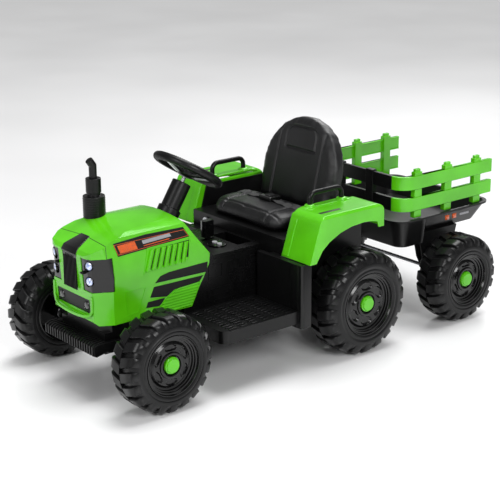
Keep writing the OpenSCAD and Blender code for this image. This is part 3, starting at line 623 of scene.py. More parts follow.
def sweep(name, path, section, up=(0, 0, 1)):
    """A closed section moved along a path of points, with its ends capped."""
    path = [Vector(p) for p in path]
    rings = []
    for i, here in enumerate(path):
        ahead = (path[min(i + 1, len(path) - 1)] - path[max(i - 1, 0)]).normalized()
        side = ahead.cross(Vector(up)).normalized()
        top = side.cross(ahead).normalized()
        rings.append([here + side * a + top * b for a, b in section])
    return loft(name, rings)


def ring_section(radius, count=16):
    """A circle as points round its middle."""
    turns = [2 * math.pi * i / count for i in range(count)]
    return [(radius * math.cos(turn), radius * math.sin(turn)) for turn in turns]


def move(piece, matrix):
    """Moves a piece's points and returns it."""
    piece.data.transform(matrix)
    piece.data.update()
    return piece


def mirrored(piece, name):
    """The same piece on the other side of the centre plane."""
    shape = bmesh.new()
    shape.from_mesh(piece.data)
    bmesh.ops.scale(shape, vec=(1, -1, 1), verts=shape.verts)
    bmesh.ops.reverse_faces(shape, faces=shape.faces)
    twin = piece_from_bmesh(name, shape)
    for material in piece.data.materials:
        twin.data.materials.append(material)
    return shade(twin, 50)


def even(points, count):
    """Points at even distances along a polyline."""
    points = [Vector(p) for p in points]
    lengths = [0.0]
    for a, b in zip(points, points[1:]):
        lengths.append(lengths[-1] + (b - a).length)
    done = []
    for i in range(count):
        want = lengths[-1] * i / (count - 1)
        k = max(j for j in range(len(points)) if lengths[j] <= want + 1e-12)
        if k >= len(points) - 1:
            done.append(points[-1].copy())
            continue
        t = (want - lengths[k]) / max(lengths[k + 1] - lengths[k], 1e-12)
        done.append(points[k].lerp(points[k + 1], t))
    return done


# ---- what each CAD node is made of ----

SIDES = (("left", 1), ("right", -1))
RECORD_SLOT = {part["node"]: part["material_slot"] for part in frame["record"]["subparts"]}
BODY_OF = {node: shown["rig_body"] for node, shown in frame["nodes"].items()}


def soft_copy(node, finish, width, segments=2, angle=30):
    """Stands for a CAD node: the node's own shape with rounded edges, in its own body."""
    piece = rounded(copy_of(node, node + "_look"), width * MM, segments, angle)
    flat = piece.modifiers.new("flat_faces", "WEIGHTED_NORMAL")
    flat.keep_sharp = True
    flat.weight = 80
    return dress(bake(piece), BODY_OF[node], RECORD_SLOT[node], node, finish=finish)


def soft_copies(*rows):
    """Soft copies from rows of node, finish, rounding in millimetres, segments and least angle."""
    for row in rows:
        soft_copy(*row)


def paint(finish, *nodes):
    """Gives a finish to CAD nodes that stay as they are."""
    for node in nodes:
        shown = frame["nodes"][node]
        for slot in shown.material_slots:
            slot.material = FINISH[finish]


def rest_of(x):
    """A place along the object, in metres, from millimetres behind or ahead of the front axle."""
    return FRONT_AXLE_X + x * MM


# ---- wheels ----

BEAD_RADIUS = {"front": 0.077, "rear": 0.085, "trailer": 0.073}
LUG_HEIGHT = 0.008
LUG_ROOT = -0.0015
LUG_LEAN = 0.34
LUG_RISE = (0.0004, 0.0016, 0.004, 0.006, 0.0072, 0.008, 0.008, 0.008)
LUG_SECTION = ((-1.06, -0.25), (-1.0, 0.7), (-0.86, 1.0), (0.86, 1.0), (1.0, 0.7), (1.06, -0.25))
SHOULDER_STEPS = 9
DISC_INNER = 0.034
DISC_DEPTH = -0.0125
POCKET_DEPTH = 0.0052
POCKET_SHARE = 0.36


def tyre_shoulder(radius, bead, width):
    """The tyre's shoulder, wall to tread, as (radius, depth, radial way out, axial way out)."""
    arc_r = 0.52 * (radius - bead)
    arc_h = 0.27 * width
    foot = radius - LUG_HEIGHT - arc_r
    line = []
    for step in range(SHOULDER_STEPS + 1):
        turn = math.radians(90 * step / SHOULDER_STEPS)
        out = Vector((math.sin(turn) / arc_r, math.cos(turn) / arc_h)).normalized()
        line.append((foot + arc_r * math.sin(turn), -arc_h * (1 - math.cos(turn)), out.x, out.y))
    return line


def lug_rings(stations, side, width, count):
    """One leaning tread bar that wraps over the shoulder, as rings of points along it."""
    pitch = 2 * math.pi / count
    last = len(stations) - 1
    rings = []
    for k, (r, h, out_r, out_h, tall) in enumerate(stations):
        lean = LUG_LEAN * pitch * (k / last) ** 3
        half = pitch * (0.31 + 0.05 * k / last)
        ring = []
        for across, up in LUG_SECTION:
            rise = tall * up if up > 0 else LUG_ROOT
            where = r + out_r * rise
            depth = h + out_h * rise if side > 0 else -width - (h + out_h * rise)
            angle = lean + half * across
            ring.append((where * math.cos(angle), where * math.sin(angle), depth))
        rings.append(ring)
    return rings


def make_tyre(name, radius, bead, width, count):
    """A turned carcass with count leaning bars on each side of its tread."""
    shoulder = tyre_shoulder(radius, bead, width)
    wall = shoulder[0][0]
    outer = [
        (bead - 0.001, -0.006), (bead + 0.001, -0.002), (bead + 0.005, -0.0004), (bead + 0.009, -0.0004),
        (bead + 0.0105, -0.0016), (wall - 0.004, -0.0012), (wall - 0.002, 0.0),
    ] + [(r, h) for r, h, _, _ in shoulder]
    inner = [(r, -width - h) for r, h in outer[::-1]]
    carcass = coat(shade(lathe(name, outer + inner, 120), 40), "tyre")
    stations = [(*place, tall) for place, tall in zip(shoulder[2:], LUG_RISE)]
    edge = shoulder[-1][1]
    for part in (0.45, 1.0):
        depth = edge + part * (-width / 2 + 0.0012 - edge)
        stations.append((radius - LUG_HEIGHT, depth, 1.0, 0.0, LUG_HEIGHT))
    bars = []
    for side, start in ((1, 0.0), (-1, math.pi / count)):
        bar = shade(loft(name + "_bar", lug_rings(stations, side, width, count)), 45)
        bars.append(grow(bar, "ring", FINISH["tyre"], Count=count, Offset=start))
    return join_pieces(name, [carcass, *bars])


def make_rim(name, bead, width, pocket_count):
    """A stepped rim with oval pockets pressed into its disc."""
    disc_out = bead - 0.024
    middle_r = (disc_out + DISC_INNER) / 2 + 0.0005
    reach_r = (disc_out - DISC_INNER) * POCKET_SHARE
    reach_along = middle_r * POCKET_SHARE
    face = [
        (bead + 0.0005, -0.004), (bead - 0.001, -0.0012), (bead - 0.0028, -0.0012), (bead - 0.0036, -0.0032),
        (bead - 0.005, -0.0072), (bead - 0.0085, -0.0078), (bead - 0.0095, -0.0125), (bead - 0.0125, -0.0132),
        (bead - 0.0137, -0.0178), (bead - 0.0185, -0.0188), (bead - 0.0205, -0.0176),
        (disc_out, DISC_DEPTH - 0.0008),
    ]
    steps = 14
    face += [(disc_out + (DISC_INNER - disc_out) * k / steps, DISC_DEPTH) for k in range(1, steps + 1)]
    face += [
        (0.0325, -0.0095), (0.0312, -0.0088), (0.0275, -0.0088), (0.0262, -0.0095), (0.0248, -0.0146),
        (0.0225, -0.0158), (0.0052, -0.0162),
    ]
    back = [
        (0.0052, -width + 0.002), (0.019, -width + 0.002), (0.0205, -width + 0.004), (0.022, -0.028),
        (bead - 0.022, -0.03), (bead - 0.012, -width + 0.018), (bead - 0.006, -width + 0.005),
        (bead - 0.003, -width + 0.001), (bead + 0.0005, -width + 0.004),
    ]

    def pockets(radius, height, angle):
        if DISC_INNER <= radius <= disc_out + 1e-6 and abs(height - DISC_DEPTH) < 0.0009:
            turn = (angle * pocket_count / (2 * math.pi)) % 1.0 - 0.5
            along = turn * 2 * math.pi / pocket_count * middle_r
            away = math.hypot((radius - middle_r) / reach_r, along / reach_along)
            height -= POCKET_DEPTH * eased((1.16 - away) / 0.3)
        return radius, height

    return coat(shade(lathe(name, face + back, 168, pockets), 32), "rim")


def eased(share):
    """0 at or below 0, 1 at or above 1, and smooth between them."""
    share = min(1.0, max(0.0, share))
    return share * share * (3 - 2 * share)


def make_cap(name):
    """A flat hub cap with a knurled rim."""
    profile = [
        (0.0, -0.0034), (0.0135, -0.0032), (0.0168, -0.0034), (0.0178, -0.0044), (0.0181, -0.0068),
        (0.0192, -0.0072), (0.0204, -0.008), (0.0207, -0.0092), (0.0207, -0.0152), (0.02, -0.0158),
        (0.0, -0.0158),
    ]
    body = coat(shade(lathe(name, profile, 72), 40), "green")
    rib = brick(name + "_rib", (0.0200, -0.0006, -0.0152), (0.0212, 0.0006, -0.0092), 0.35, 1)
    grow(rib, "ring", FINISH["green"], Count=36)
    return join_pieces(name, [body, rib])


def place_wheel(piece, node):
    """Turns a wheel piece made round Z, outer face at height 0, on to its own wheel."""
    low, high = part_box(node)
    centre = (low + high) / 2
    left = centre.y > 0
    turn = Matrix.Rotation(math.radians(-90 if left else 90), 4, "X")
    outer = Vector((centre.x, high.y if left else low.y, centre.z))
    return move(piece, Matrix.Translation(outer) @ turn)


class TRACTOR_OT_wheels(bpy.types.Operator):
    """Builds the six wheels: lugged tyres, stepped rims and knurled hub caps"""

    bl_idname = "tractor.wheels"
    bl_label = "Build Wheels"

    def execute(self, context):
        settings = context.scene.tractor_wheels
        for end, bead in BEAD_RADIUS.items():
            for side, _ in SIDES:
                place = f"{end}_{side}"
                node = f"wheel_{place}"
                low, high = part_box(node)
                radius = (high.z - low.z) / 2
                width = high.y - low.y
                tyre = make_tyre(f"tyre_{place}", radius, bead, width, settings.lug_count)
                rim = make_rim(f"rim_{place}", bead, width, settings.pocket_count)
                for piece in (tyre, rim):
                    dress(place_wheel(piece, node), node, RECORD_SLOT[node], node)
                cap = place_wheel(make_cap(f"hub_cap_{place}"), node)
                dress(cap, node, RECORD_SLOT[f"cap_{place}"], f"cap_{place}")
        return {"FINISHED"}


# ---- hood and nose ----

HOOD_HALF = 0.112
HOOD_DRAW_IN = 0.014
HOOD_LEAN_LOW = 0.304
HOOD_LEAN_HIGH = 0.400
SUNK = -0.0006
LOUVRE_COUNT = 7
# Outline of the black sheet of painted shadow under the louvre slats.
LOUVRE_SHADOW_SHEET = [(-53, 305), (-70, 353), (-193, 356), (-183, 315)]
LOUVRE_FRAME = [(-47, 301), (-64, 358), (-190, 361), (-180, 311)]
LEAF = [(-90, 206), (-111, 224), (-147, 239), (-215, 241), (-186, 184), (-150, 184), (-118, 190)]
LEAF_SLAT = ((-2.6, -0.0008), (2.4, -0.0008), (2.2, 0.0018), (-2.2, 0.0034))
SIDE_RECESS = [(11, 264), (-49, 264), (-25, 205), (7, 203)]
PLATE_FOOT, PLATE_FACE = 0.0004, 0.0016
DECAL = [(38, 389), (26, 356), (-193, 364), (-177, 388)]
DECAL_MARKS = (
    ("decal_square", [(24, 382), (17, 362), (-34, 364), (-27, 384)], "orange"),
    ("decal_bar", [(-48, 381.5), (-51, 372.5), (-136, 375.5), (-131, 384)], "grey"),
    ("decal_thin_bar", [(-52, 369), (-52.6, 367), (-130, 369.8), (-129, 371.8)], "orange"),
)
NOSE_FRONT = 97.4
NOSE_PANEL_THICK = 4
HEADLAMPS = ((1, 300), (1, 339), (-1, 300), (-1, 339))
HEADLAMP_X, HEADLAMP_Y, HEADLAMP_TURN = 89.4, 0.077, 17
FOG_LAMP_X, FOG_LAMP_Y, FOG_LAMP_Z = 87, 0.056, 0.233
FIN_FOOT, FIN_TOP = 0.268, 0.347
FIN_START_Y, FIN_STEP = -0.0265, 0.0059
FIN_INSET, FIN_LEAN, FIN_LEAN_FROM = 0.0024, 0.012, 0.264
FIN_COUNT = 10
FIN_SECTION = ((-0.0011, 0.0), (0.0011, 0.0), (0.0007, 0.0042), (-0.0007, 0.0042))


def hood_side(z):
    """The hood's half width at a height on its side."""
    if z <= HOOD_LEAN_LOW:
        return HOOD_HALF
    return HOOD_HALF - HOOD_DRAW_IN * (z - HOOD_LEAN_LOW) / (HOOD_LEAN_HIGH - HOOD_LEAN_LOW)


def on_hood(x, z, out=0.0):
    """A point on the hood's left side, out metres away from it."""
    return Vector((rest_of(x), hood_side(z * MM) + out, z * MM))


def both_sides(pieces, name, slot):
    """Joins pieces made for the left side, and adds the same on the right."""
    left = shade(join_pieces(name + "_left", pieces), 45)
    for piece in (left, mirrored(left, name + "_right")):
        dress(piece, "chassis", slot)


def flat_frame(name, corners, inset, width, out, finish, place=on_hood):
    """A thin raised line inside a panel; place(along, up, out) puts a point on its surface."""
    total = len(corners)
    rings = []
    for i, corner in enumerate(corners):
        here = Vector(corner)
        a = (Vector(corners[i - 1]) - here).normalized()
        b = (Vector(corners[(i + 1) % total]) - here).normalized()
        sine = max(abs(a.x * b.y - a.y * b.x), 0.3)
        outer = here + (a + b) * (inset / sine)
        inner = here + (a + b) * ((inset + width) / sine)
        rings.append([place(*outer, out), place(*inner, out), place(*inner, SUNK), place(*outer, SUNK)])
    return coat(loft(name, rings, "joined"), finish)


def side_plate(name, corners, low, high, finish):
    """A thin plate on the hood's side."""
    return coat(loft(name, [[on_hood(x, z, out) for x, z in corners] for out in (low, high)]), finish)


def louvre_slats():
    """Leaning slats, each high along its front edge, in a frame over a black sheet of painted shadow that
    shows in the slits between them.
    """
    # The black sheet under the slats is painted shadow in the slits between them.
    slats = [side_plate("louvre_painted_shadow", LOUVRE_SHADOW_SHEET, -0.0004, 0.0003, "band_black")]
    width, rise = 14.6, 0.0056
    section = (
        (-width / 2, -0.0012), (-width / 2, 0.0008), (width * 0.38, rise), (width / 2, rise * 0.9),
        (width / 2, -0.0012),
    )
    for k in range(LOUVRE_COUNT):
        ends = ((-56.0 - 18.0 * k, 305), (-76.5 - 17.2 * k, 354))
        rings = [[on_hood(x + along, z, out) for along, out in section] for x, z in ends]
        slats.append(coat(loft(f"slat_{k}", rings), "hood_green"))
    slats.append(flat_frame("louvre_frame", LOUVRE_FRAME, -2.5, 2.6, 0.0016, "hood_green"))
    return slats


def span_of(outline, level):
    """Where a level line crosses an outline: its lowest and highest place along."""
    crossings = []
    for (xa, za), (xb, zb) in zip(outline, outline[1:] + outline[:1]):
        if (za - level) * (zb - level) < 0:
            crossings.append(xa + (xb - xa) * (level - za) / (zb - za))
    return (min(crossings), max(crossings)) if len(crossings) > 1 else None


def leaf_slats():
    """Level slats inside the leaf-shaped panel low on the hood's side, with a rim round them."""
    slats = [flat_frame("leaf_rim", LEAF, -1.2, 2.6, 0.0026, "hood_green")]
    shortest, gap = 14, 1.5
    for k in range(LOUVRE_COUNT):
        level = 189.5 + 7.3 * k
        span = span_of(LEAF, level)
        if span is None or span[1] - span[0] < shortest:
            continue
        ends = (span[0] + gap, span[1] - gap)
        rings = [[on_hood(x, level + up, out) for up, out in LEAF_SLAT] for x in ends]
        slats.append(coat(loft(f"leaf_slat_{k}", rings), "hood_green"))
    return slats


def decal_marks():
    """The band's thin line, its plain square and its two plain bars."""
    marks = [flat_frame("decal_line", DECAL, 3.2, 1.0, PLATE_FACE, "orange")]
    for name, corners, finish in DECAL_MARKS:
        marks.append(side_plate(name, corners, PLATE_FOOT, PLATE_FACE, finish))
    return marks


def nose_panel():
    """The plain black panel that slopes from the top of the grille on to the hood."""
    rows = ((99.0, 358.0, 33), (97.6, 362.5, 33), (91.0, 372.6, 31.5), (47.5, 392.2, 18.5), (45.5, 391.4, 17))
    rings = []
    for x, z, half in rows:
        top = [(rest_of(x), side * half * MM, z * MM) for side in (1, -1)]
        under = [(rest_of(x - 3), side * half * MM, (z - NOSE_PANEL_THICK) * MM) for side in (-1, 1)]
        rings.append(top + under)
    panel = rounded(loft("nose_panel", rings), 0.0006, 2, 25)
    return dress(panel, "chassis", RECORD_SLOT["grille"], finish="gloss_black")


def nose_lip():
    """The lip round the lower nose that dips under the fog lamps, and the tabs beside the headlamps."""
    line = (
        (NOSE_FRONT, 0, 0.2035), (NOSE_FRONT, 0.030, 0.2045), (NOSE_FRONT, 0.058, 0.208),
        (92.6, 0.0775, 0.2135), (90.6, 0.0845, 0.226), (90.4, 0.0852, 0.250), (90.6, 0.0845, 0.262),
    )
    section = rounded_outline(rectangle((-0.004, -0.0024), (0.004, 0.0024)), 0.0016, 3)
    parts = []
    for _, sign in SIDES:
        path = [(rest_of(x), sign * y, z) for x, y, z in line]
        parts.append(coat(sweep(f"lip_{sign}", even(path, 30), section, up=(1, 0, 0.001)), "hood_green"))
        near, far = sorted((sign * 0.052, sign * 0.064))
        tab = brick(f"tab_{sign}", (rest_of(91), near, 0.3165), (rest_of(101), far, 0.3215), 1.2, 2)
        parts.append(coat(tab, "black"))
    return dress(shade(join_pieces("nose_lip", parts), 50), "chassis", "green_gloss")


def muffler_rings():
    """Fine rings round the lower part of the muffler."""
    low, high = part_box("muffler")
    centre = (low + high) / 2
    radius = (high.x - low.x) / 2
    inner, outer = radius - 0.001, radius + 0.0007
    section = [(inner, -0.0016), (outer, -0.0009), (outer, 0.0009), (inner, 0.0016)]
    ring = shade(lathe("muffler_rings", section, 64), 40)
    move(ring, Matrix.Translation((centre.x, centre.y, low.z + 0.008)))
    grow(ring, "row", FINISH["black"], Count=9, Step=(0.0, 0.0, 0.0062))
    return dress(ring, "chassis", RECORD_SLOT["muffler"])


def grille_fins():
    """Upright fins side by side over the grille, leaning back with it."""
    face_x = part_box("grille")[1].x - FIN_INSET
    rings = []
    for z in (FIN_FOOT, FIN_TOP):
        root_x = face_x - (z - FIN_LEAN_FROM) * FIN_LEAN
        rings.append([(root_x + out, FIN_START_Y + y, z) for y, out in FIN_SECTION])
    fin = shade(loft("grille_fins", rings), 30)
    grow(fin, "row", FINISH["black"], Count=FIN_COUNT, Step=(0.0, FIN_STEP, 0.0))
    return dress(fin, "chassis", RECORD_SLOT["grille"])


def lamp(name, radius, place, depth=0.004, finish="lens", outwards=0.0):
    """A domed round lamp that faces forwards, turned outwards by some degrees."""
    dome = [math.radians(15 * k) for k in range(1, 7)]
    profile = [(0.0, depth)]
    profile += [(radius * 0.8 * math.sin(a), depth * math.cos(a) * 0.8 + depth * 0.2) for a in dome]
    profile += [(radius * 0.84, -0.001), (0.0, -0.001)]
    glass = coat(shade(lathe(name, profile, 48), 40), finish)
    ring = [
        (radius * 0.83, -0.001), (radius * 0.83, depth * 0.45), (radius * 0.9, depth * 0.75),
        (radius, depth * 0.3), (radius, -0.001),
    ]
    rim = coat(shade(lathe(name + "_ring", ring, 48), 40), "gloss_black")
    turn = Matrix.Rotation(math.radians(outwards), 4, "Z") @ Matrix.Rotation(math.radians(90), 4, "Y")
    return move(join_pieces(name, [glass, rim]), Matrix.Translation(place) @ turn)


def lamps():
    """Two headlamps one over the other on each side, and two dark fog lamps."""
    heads = []
    for k, (side, z) in enumerate(HEADLAMPS):
        place = (rest_of(HEADLAMP_X), side * HEADLAMP_Y, z * MM)
        heads.append(lamp(f"head_lens_{k}", 0.0128, place, outwards=side * HEADLAMP_TURN))
    glass = join_pieces("headlamp_glass", heads)
    dress(glass, "chassis", RECORD_SLOT["headlamp_lenses"], "headlamp_lenses")
    fogs = []
    for side in (1, -1):
        place = (rest_of(FOG_LAMP_X), side * FOG_LAMP_Y, FOG_LAMP_Z)
        fogs.append(lamp(f"fog_{side}", 0.0125, place, 0.003, "dark_lens"))
    dress(join_pieces("fog_lamps", fogs), "chassis", RECORD_SLOT["headlamp_lenses"])


class TRACTOR_OT_hood(bpy.types.Operator):
    """Builds the hood, its louvres, its decal, the nose, the lamps, the bumper and the muffler"""

    bl_idname = "tractor.hood"
    bl_label = "Build Hood"

    def execute(self, context):
        soft_copies(
            ("hood_shell", "hood_green", 5, 4, 24),
            ("hood_trim", "band_black", 0.35, 1),
            ("headlamp_housings", "gloss_black", 2.2, 3),
            ("grille", "gloss_black", 0.8),
            ("fog_panel", "band_black", 1.2),
            ("front_bumper", "black", 1.0),
            ("muffler", "black", 1.4, 3),
            ("exhaust_pipe", "black", 0.8),
        )
        both_sides(louvre_slats(), "hood_louvres", "green_gloss")
        both_sides(leaf_slats(), "leaf_louvres", "green_gloss")
        both_sides(decal_marks(), "hood_marks", "black_gloss")
        recess = flat_frame("side_recess", SIDE_RECESS, -1.0, 2.2, 0.0011, "hood_green")
        both_sides([recess], "side_recess", "green_gloss")
        nose_panel()
        nose_lip()
        muffler_rings()
        grille_fins()
        lamps()
        return {"FINISHED"}


# ---- the middle: console, dash, steering and controls ----

STEER_LEAN = math.radians(33)
STEER_HUB = Vector((rest_of(-267), 0, 0.503))
WHEEL_RADIUS = 0.0848
WHEEL_TUBE = 0.0106
GRIP_RIBS = 90
GRIP_RIB_LINE = ((-0.014, -0.001), (-0.011, 0.0007), (0.011, 0.0007), (0.014, -0.001))
SPOKE_ANGLES = (0, 115, 245)
SPOKE_LINE = ((0.014, -0.012), (0.03, -0.011), (0.05, -0.006), (0.068, -0.002), (0.079, 0.0))
CONSOLE_PANELS = (
    ((-416, 176), (-196, 292)), ((-408, 236), (-366, 276)), ((-352, 236), (-306, 276)),
    ((-292, 236), (-246, 276)), ((-408, 190), (-330, 212)), ((-316, 190), (-240, 212)),
)


def wheel_grip():
    """The steering wheel's rim and the fine ribs round it."""
    section = [(WHEEL_RADIUS + a, b) for a, b in ring_section(WHEEL_TUBE, 20)]
    rim = coat(lathe("rim_ring", section, 120), "grip")
    rings = [
        [
            ((WHEEL_RADIUS + a) * math.cos(turn), (WHEEL_RADIUS + a) * math.sin(turn), b)
            for a, b in ring_section(WHEEL_TUBE + out, 14)
        ]
        for turn, out in GRIP_RIB_LINE
    ]
    rib = grow(loft("rim_rib", rings, "open"), "ring", FINISH["grip"], Count=GRIP_RIBS)
    return [rim, rib]


def oval(half_width, half_height, count):
    """An oval as points round its middle."""
    return [(x * half_width, y * half_height) for x, y in ring_section(1, count)]


def wheel_spoke(number, angle):
    """One spoke and the silver plate under it."""
    way = math.radians(angle)
    path = [(r * math.cos(way), r * math.sin(way), drop) for r, drop in SPOKE_LINE]
    spoke = coat(sweep(f"spoke_{number}", path, oval(0.0165, 0.0052, 20)), "grip")
    under = [(x, y, z - 0.0032) for x, y, z in path[1:4]]
    plate = coat(sweep(f"spoke_plate_{number}", under, oval(0.0105, 0.0032, 16)), "silver")
    return [spoke, plate]


def make_steering_wheel():
    """The ribbed rim, three spokes and a hub, set on the leaning shaft."""
    parts = wheel_grip()
    for number, angle in enumerate(SPOKE_ANGLES):
        parts += wheel_spoke(number, angle)
    profile = [
        (0.0, 0.004), (0.02, 0.004), (0.026, 0.0005), (0.028, -0.006), (0.026, -0.014),
        (0.02, -0.019), (0.012, -0.021), (0.0, -0.021),
    ]
    parts.append(coat(lathe("hub", profile, 64), "grip"))
    place = Matrix.Translation(STEER_HUB) @ Matrix.Rotation(-STEER_LEAN, 4, "Y")
    return shade(move(join_pieces("steering_wheel_look", parts), place), 40)


def console_lines():
    """Raised moulded lines on the console's sides."""
    side_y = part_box("console_box")[1].y

    def on_console(x, z, out):
        return Vector((rest_of(x), side_y + out, z * MM))

    lines = []
    for number, (low, high) in enumerate(CONSOLE_PANELS):
        corners = rectangle(low, high)
        lines.append(flat_frame(f"line_{number}", corners, 1.0, 2.2, 0.0012, "console", on_console))
    both_sides(lines, "console_lines", RECORD_SLOT["console_box"])


def foot_treads():
    """Rows of raised bars on both footplates."""
    plates = []
    for _, sign in SIDES:
        start_y = sign * 0.196 - 0.078
        low = (rest_of(-386), start_y, 0.1645)
        high = (rest_of(-362), start_y + 0.006, 0.1672)
        bar = brick("tread", low, high, 0.8)
        grow(bar, "row", FINISH["black"], Count=6, Step=(0.036, 0.0, 0.0))
        grow(bar, "row", FINISH["black"], Count=12, Step=(0.0, 0.0135, 0.0))
        plates.append(bar)
    treads = shade(join_pieces("foot_treads", plates), 45)
    dress(treads, "chassis", RECORD_SLOT["chassis_pan"])


class TRACTOR_OT_controls(bpy.types.Operator):
    """Builds the floor pan, the console, the dash, the steering wheel, the pedal and the hand controls"""

    bl_idname = "tractor.controls"
    bl_label = "Build Controls"

    def execute(self, context):
        soft_copies(
            ("chassis_pan", "black", 1.6),
            ("console_box", "console", 2.6, 3),
        )
        console_lines()
        foot_treads()
        soft_copies(
            ("dash_panel", "black", 2.0),
            ("steering_column", "black", 2.0, 3),
            ("control_panel", "gloss_black", 0.8),
            ("gear_lever", "gloss_black", 1.8, 3),
            ("pedal", "black", 1.0),
            ("power_button", "silver", 0.5),
            ("sound_button", "silver", 0.5),
            ("horn_button", "gloss_black", 1.4, 3),
        )
        wheel = make_steering_wheel()
        dress(wheel, "steering", RECORD_SLOT["steering_wheel"], "steering_wheel")
        paint("steel", "rear_axle", "trailer_axle", "steering_shaft", "tie_rod", "hitch_pin", "charge_socket")
        paint("painted_steel", "front_axle_beam", "hitch_bracket", "knuckle_left", "knuckle_right", "drawbar")
        paint("inner", "battery", "control_box", "gearboxes")
        paint("motor", "drive_motors")
        return {"FINISHED"}


# ---- the rear: body, fenders and handles ----

FENDER_TOP = 0.4046
HANDLE_FEET = (-502, -612)
RIDGE_Y = 0.2045
RIDGE_LINE = (
    (-420, 292), (-430, 322), (-441, 354), (-450, 379), (-458, 393), (-470, 401), (-486, 404.2),
    (-540, 404.6), (-600, 404.6), (-632, 404.4), (-650, 400), (-663, 388), (-670, 368),
)


def splash_corner(side, sign):
    """The rounded outer corner of a splash plate."""
    turns = [math.radians(a) for a in range(0, 91, 9)]
    outline = [(-397.4, 250), (-397.4, 276)]
    outline += [(-411.9 + 14.5 * math.cos(turn), 277 + 14.5 * math.sin(turn)) for turn in turns]
    outline += [(-432, 291.5), (-434, 289.5), (-432, 287.6), (-411, 287.6), (-411.5, 250)]
    points = [(rest_of(x), sign * y * MM) for x, y in outline]
    corner = rounded(prism(f"splash_corner_{side}", points, 0.1185, 0.2865), 0.0008, 2, 40)
    return dress(corner, "chassis", RECORD_SLOT["rear_body"], finish="black")


def handle_feet(side):
    """The round bosses that a grab handle stands on."""
    low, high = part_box(f"handle_{side}")
    y = (low.y + high.y) / 2
    profile = [
        (0.0, 0.0052), (0.0095, 0.0052), (0.0125, 0.0038), (0.0155, 0.0), (0.0155, -0.003), (0.0, -0.003),
    ]
    bosses = []
    for x in HANDLE_FEET:
        foot = coat(lathe("boss", profile, 40), "green")
        bosses.append(move(foot, Matrix.Translation((rest_of(x), y, 0.4068))))
    return dress(shade(join_pieces(f"handle_feet_{side}", bosses), 40), "chassis", "green_gloss")


def fender_ridge(side, sign):
    """The raised ridge that follows a fender's top from front to back."""
    path = even([(rest_of(x), sign * RIDGE_Y, z * MM) for x, z in RIDGE_LINE], 48)
    section = rounded_outline(rectangle((-0.0125, -0.004), (0.0125, 0.0026)), 0.0022, 4)
    ridge = shade(sweep(f"fender_ridge_{side}", path, section), 50)
    return dress(ridge, "chassis", "green_gloss", finish="green")


def fender_mark(side, sign):
    """The plain dark mark on a fender's top."""
    near, far = sorted((sign * 0.264, sign * 0.274))
    low = (rest_of(-548), near, FENDER_TOP)
    high = (rest_of(-478), far, FENDER_TOP + 0.001)
    mark = brick(f"fender_mark_{side}", low, high, 0.3, 1)
    return dress(mark, "chassis", "black_gloss", finish="band_black")


class TRACTOR_OT_rear(bpy.types.Operator):
    """Builds the rear body, the fenders and the two grab handles"""

    bl_idname = "tractor.rear"
    bl_label = "Build Rear"

    def execute(self, context):
        soft_copy("rear_body", "black", 2.6, 3)
        for side, sign in SIDES:
            soft_copy(f"fender_{side}", "green", 6, 4, 20)
            soft_copy(f"handle_{side}", "black", 0.6)
            handle_feet(side)
            splash_corner(side, sign)
            fender_ridge(side, sign)
            fender_mark(side, sign)
        return {"FINISHED"}


# ---- the seat ----

CLOTH_FRAMES = 20
CLOTH_PRESSURE = 4.0
MOST_PUFF = 0.007
CUSHION_VOXEL = 0.005
STITCH_LIFT = 0.0003
SEAT_SEAM_Y = 0.088
BACK_SEAM_Y = 0.087
BACK_SEAM_TOP, BACK_SEAM_FADE = 0.218, 0.012
BACK_ARCH_Y, BACK_ARCH_TALL, BACK_ARCH_RADIUS, BACK_ARCH_FOOT = 0.034, 0.205, 0.026, 0.168
BACK_SILL_TALL, BACK_SILL_HALF = 0.17, 0.058
BELT_START_Y, BELT_EDGE_Y = 0.024, 0.146
BACK_LEAN = math.radians(14)
BACK_FOOT = Vector((rest_of(-610), 0, 0.33))
BACK_UP = Vector((-math.sin(BACK_LEAN), 0, math.cos(BACK_LEAN)))
BACK_FACE = Vector((math.cos(BACK_LEAN), 0, math.sin(BACK_LEAN)))


def puffed(node, name, shrink):
    """A stuffed copy of a CAD cushion: remeshed, blown up a little as cloth, and smoothed."""
    piece = copy_of(node, name)
    low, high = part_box(node)
    centre = (low + high) / 2
    size = high - low
    scale = Matrix.Diagonal([(max(size[i] - 2 * shrink[i], 0.01)) / size[i] for i in range(3)] + [1])
    move(piece, Matrix.Translation(centre) @ scale @ Matrix.Translation(-centre))
    remesh = piece.modifiers.new("remesh", "REMESH")
    remesh.mode = "VOXEL"
    remesh.voxel_size = CUSHION_VOXEL
    bake(piece)
    blow_up(piece)
    smooth = piece.modifiers.new("ease", "SMOOTH")
    smooth.factor = 0.5
    smooth.iterations = 8
    finer = piece.modifiers.new("finer", "SUBSURF")
    finer.levels = 1
    finer.render_levels = 1
    return bake(piece)


def blow_up(piece):
    """Runs a piece as pressed-out cloth for a few frames; no point moves further than MOST_PUFF."""
    start = [v.co.copy() for v in piece.data.vertices]
    cloth = piece.modifiers.new("cloth", "CLOTH")
    cloth.settings.use_pressure = True
    cloth.settings.uniform_pressure_force = CLOTH_PRESSURE
    cloth.settings.quality = 5
    cloth.settings.effector_weights.gravity = 0
    cloth.point_cache.frame_start = 1
    cloth.point_cache.frame_end = CLOTH_FRAMES
    scene = bpy.context.scene
    for number in range(1, CLOTH_FRAMES + 1):
        scene.frame_set(number)
    bake(piece)
    scene.frame_set(1)
    for vertex, before in zip(piece.data.vertices, start):
        moved = vertex.co - before
        if moved.length > MOST_PUFF:
            vertex.co = before + moved.normalized() * MOST_PUFF


def groove(away, half_width, depth):
    """How deep a sewn line presses in, at a distance from its middle."""
    return math.exp(-((away / half_width) ** 2)) * depth


def press_grooves(piece, depth_at, direction):
    """Presses sewn lines into a cushion: depth_at(point) is how far each point moves against direction."""
    way = Vector(direction).normalized()
    normals = [v.normal.copy() for v in piece.data.vertices]
    for vertex, normal in zip(piece.data.vertices, normals):
        facing = normal.dot(way)
        if facing > 0.2:
            vertex.co -= way * depth_at(vertex.co) * min(1.0, (facing - 0.2) / 0.4)
    piece.data.update()


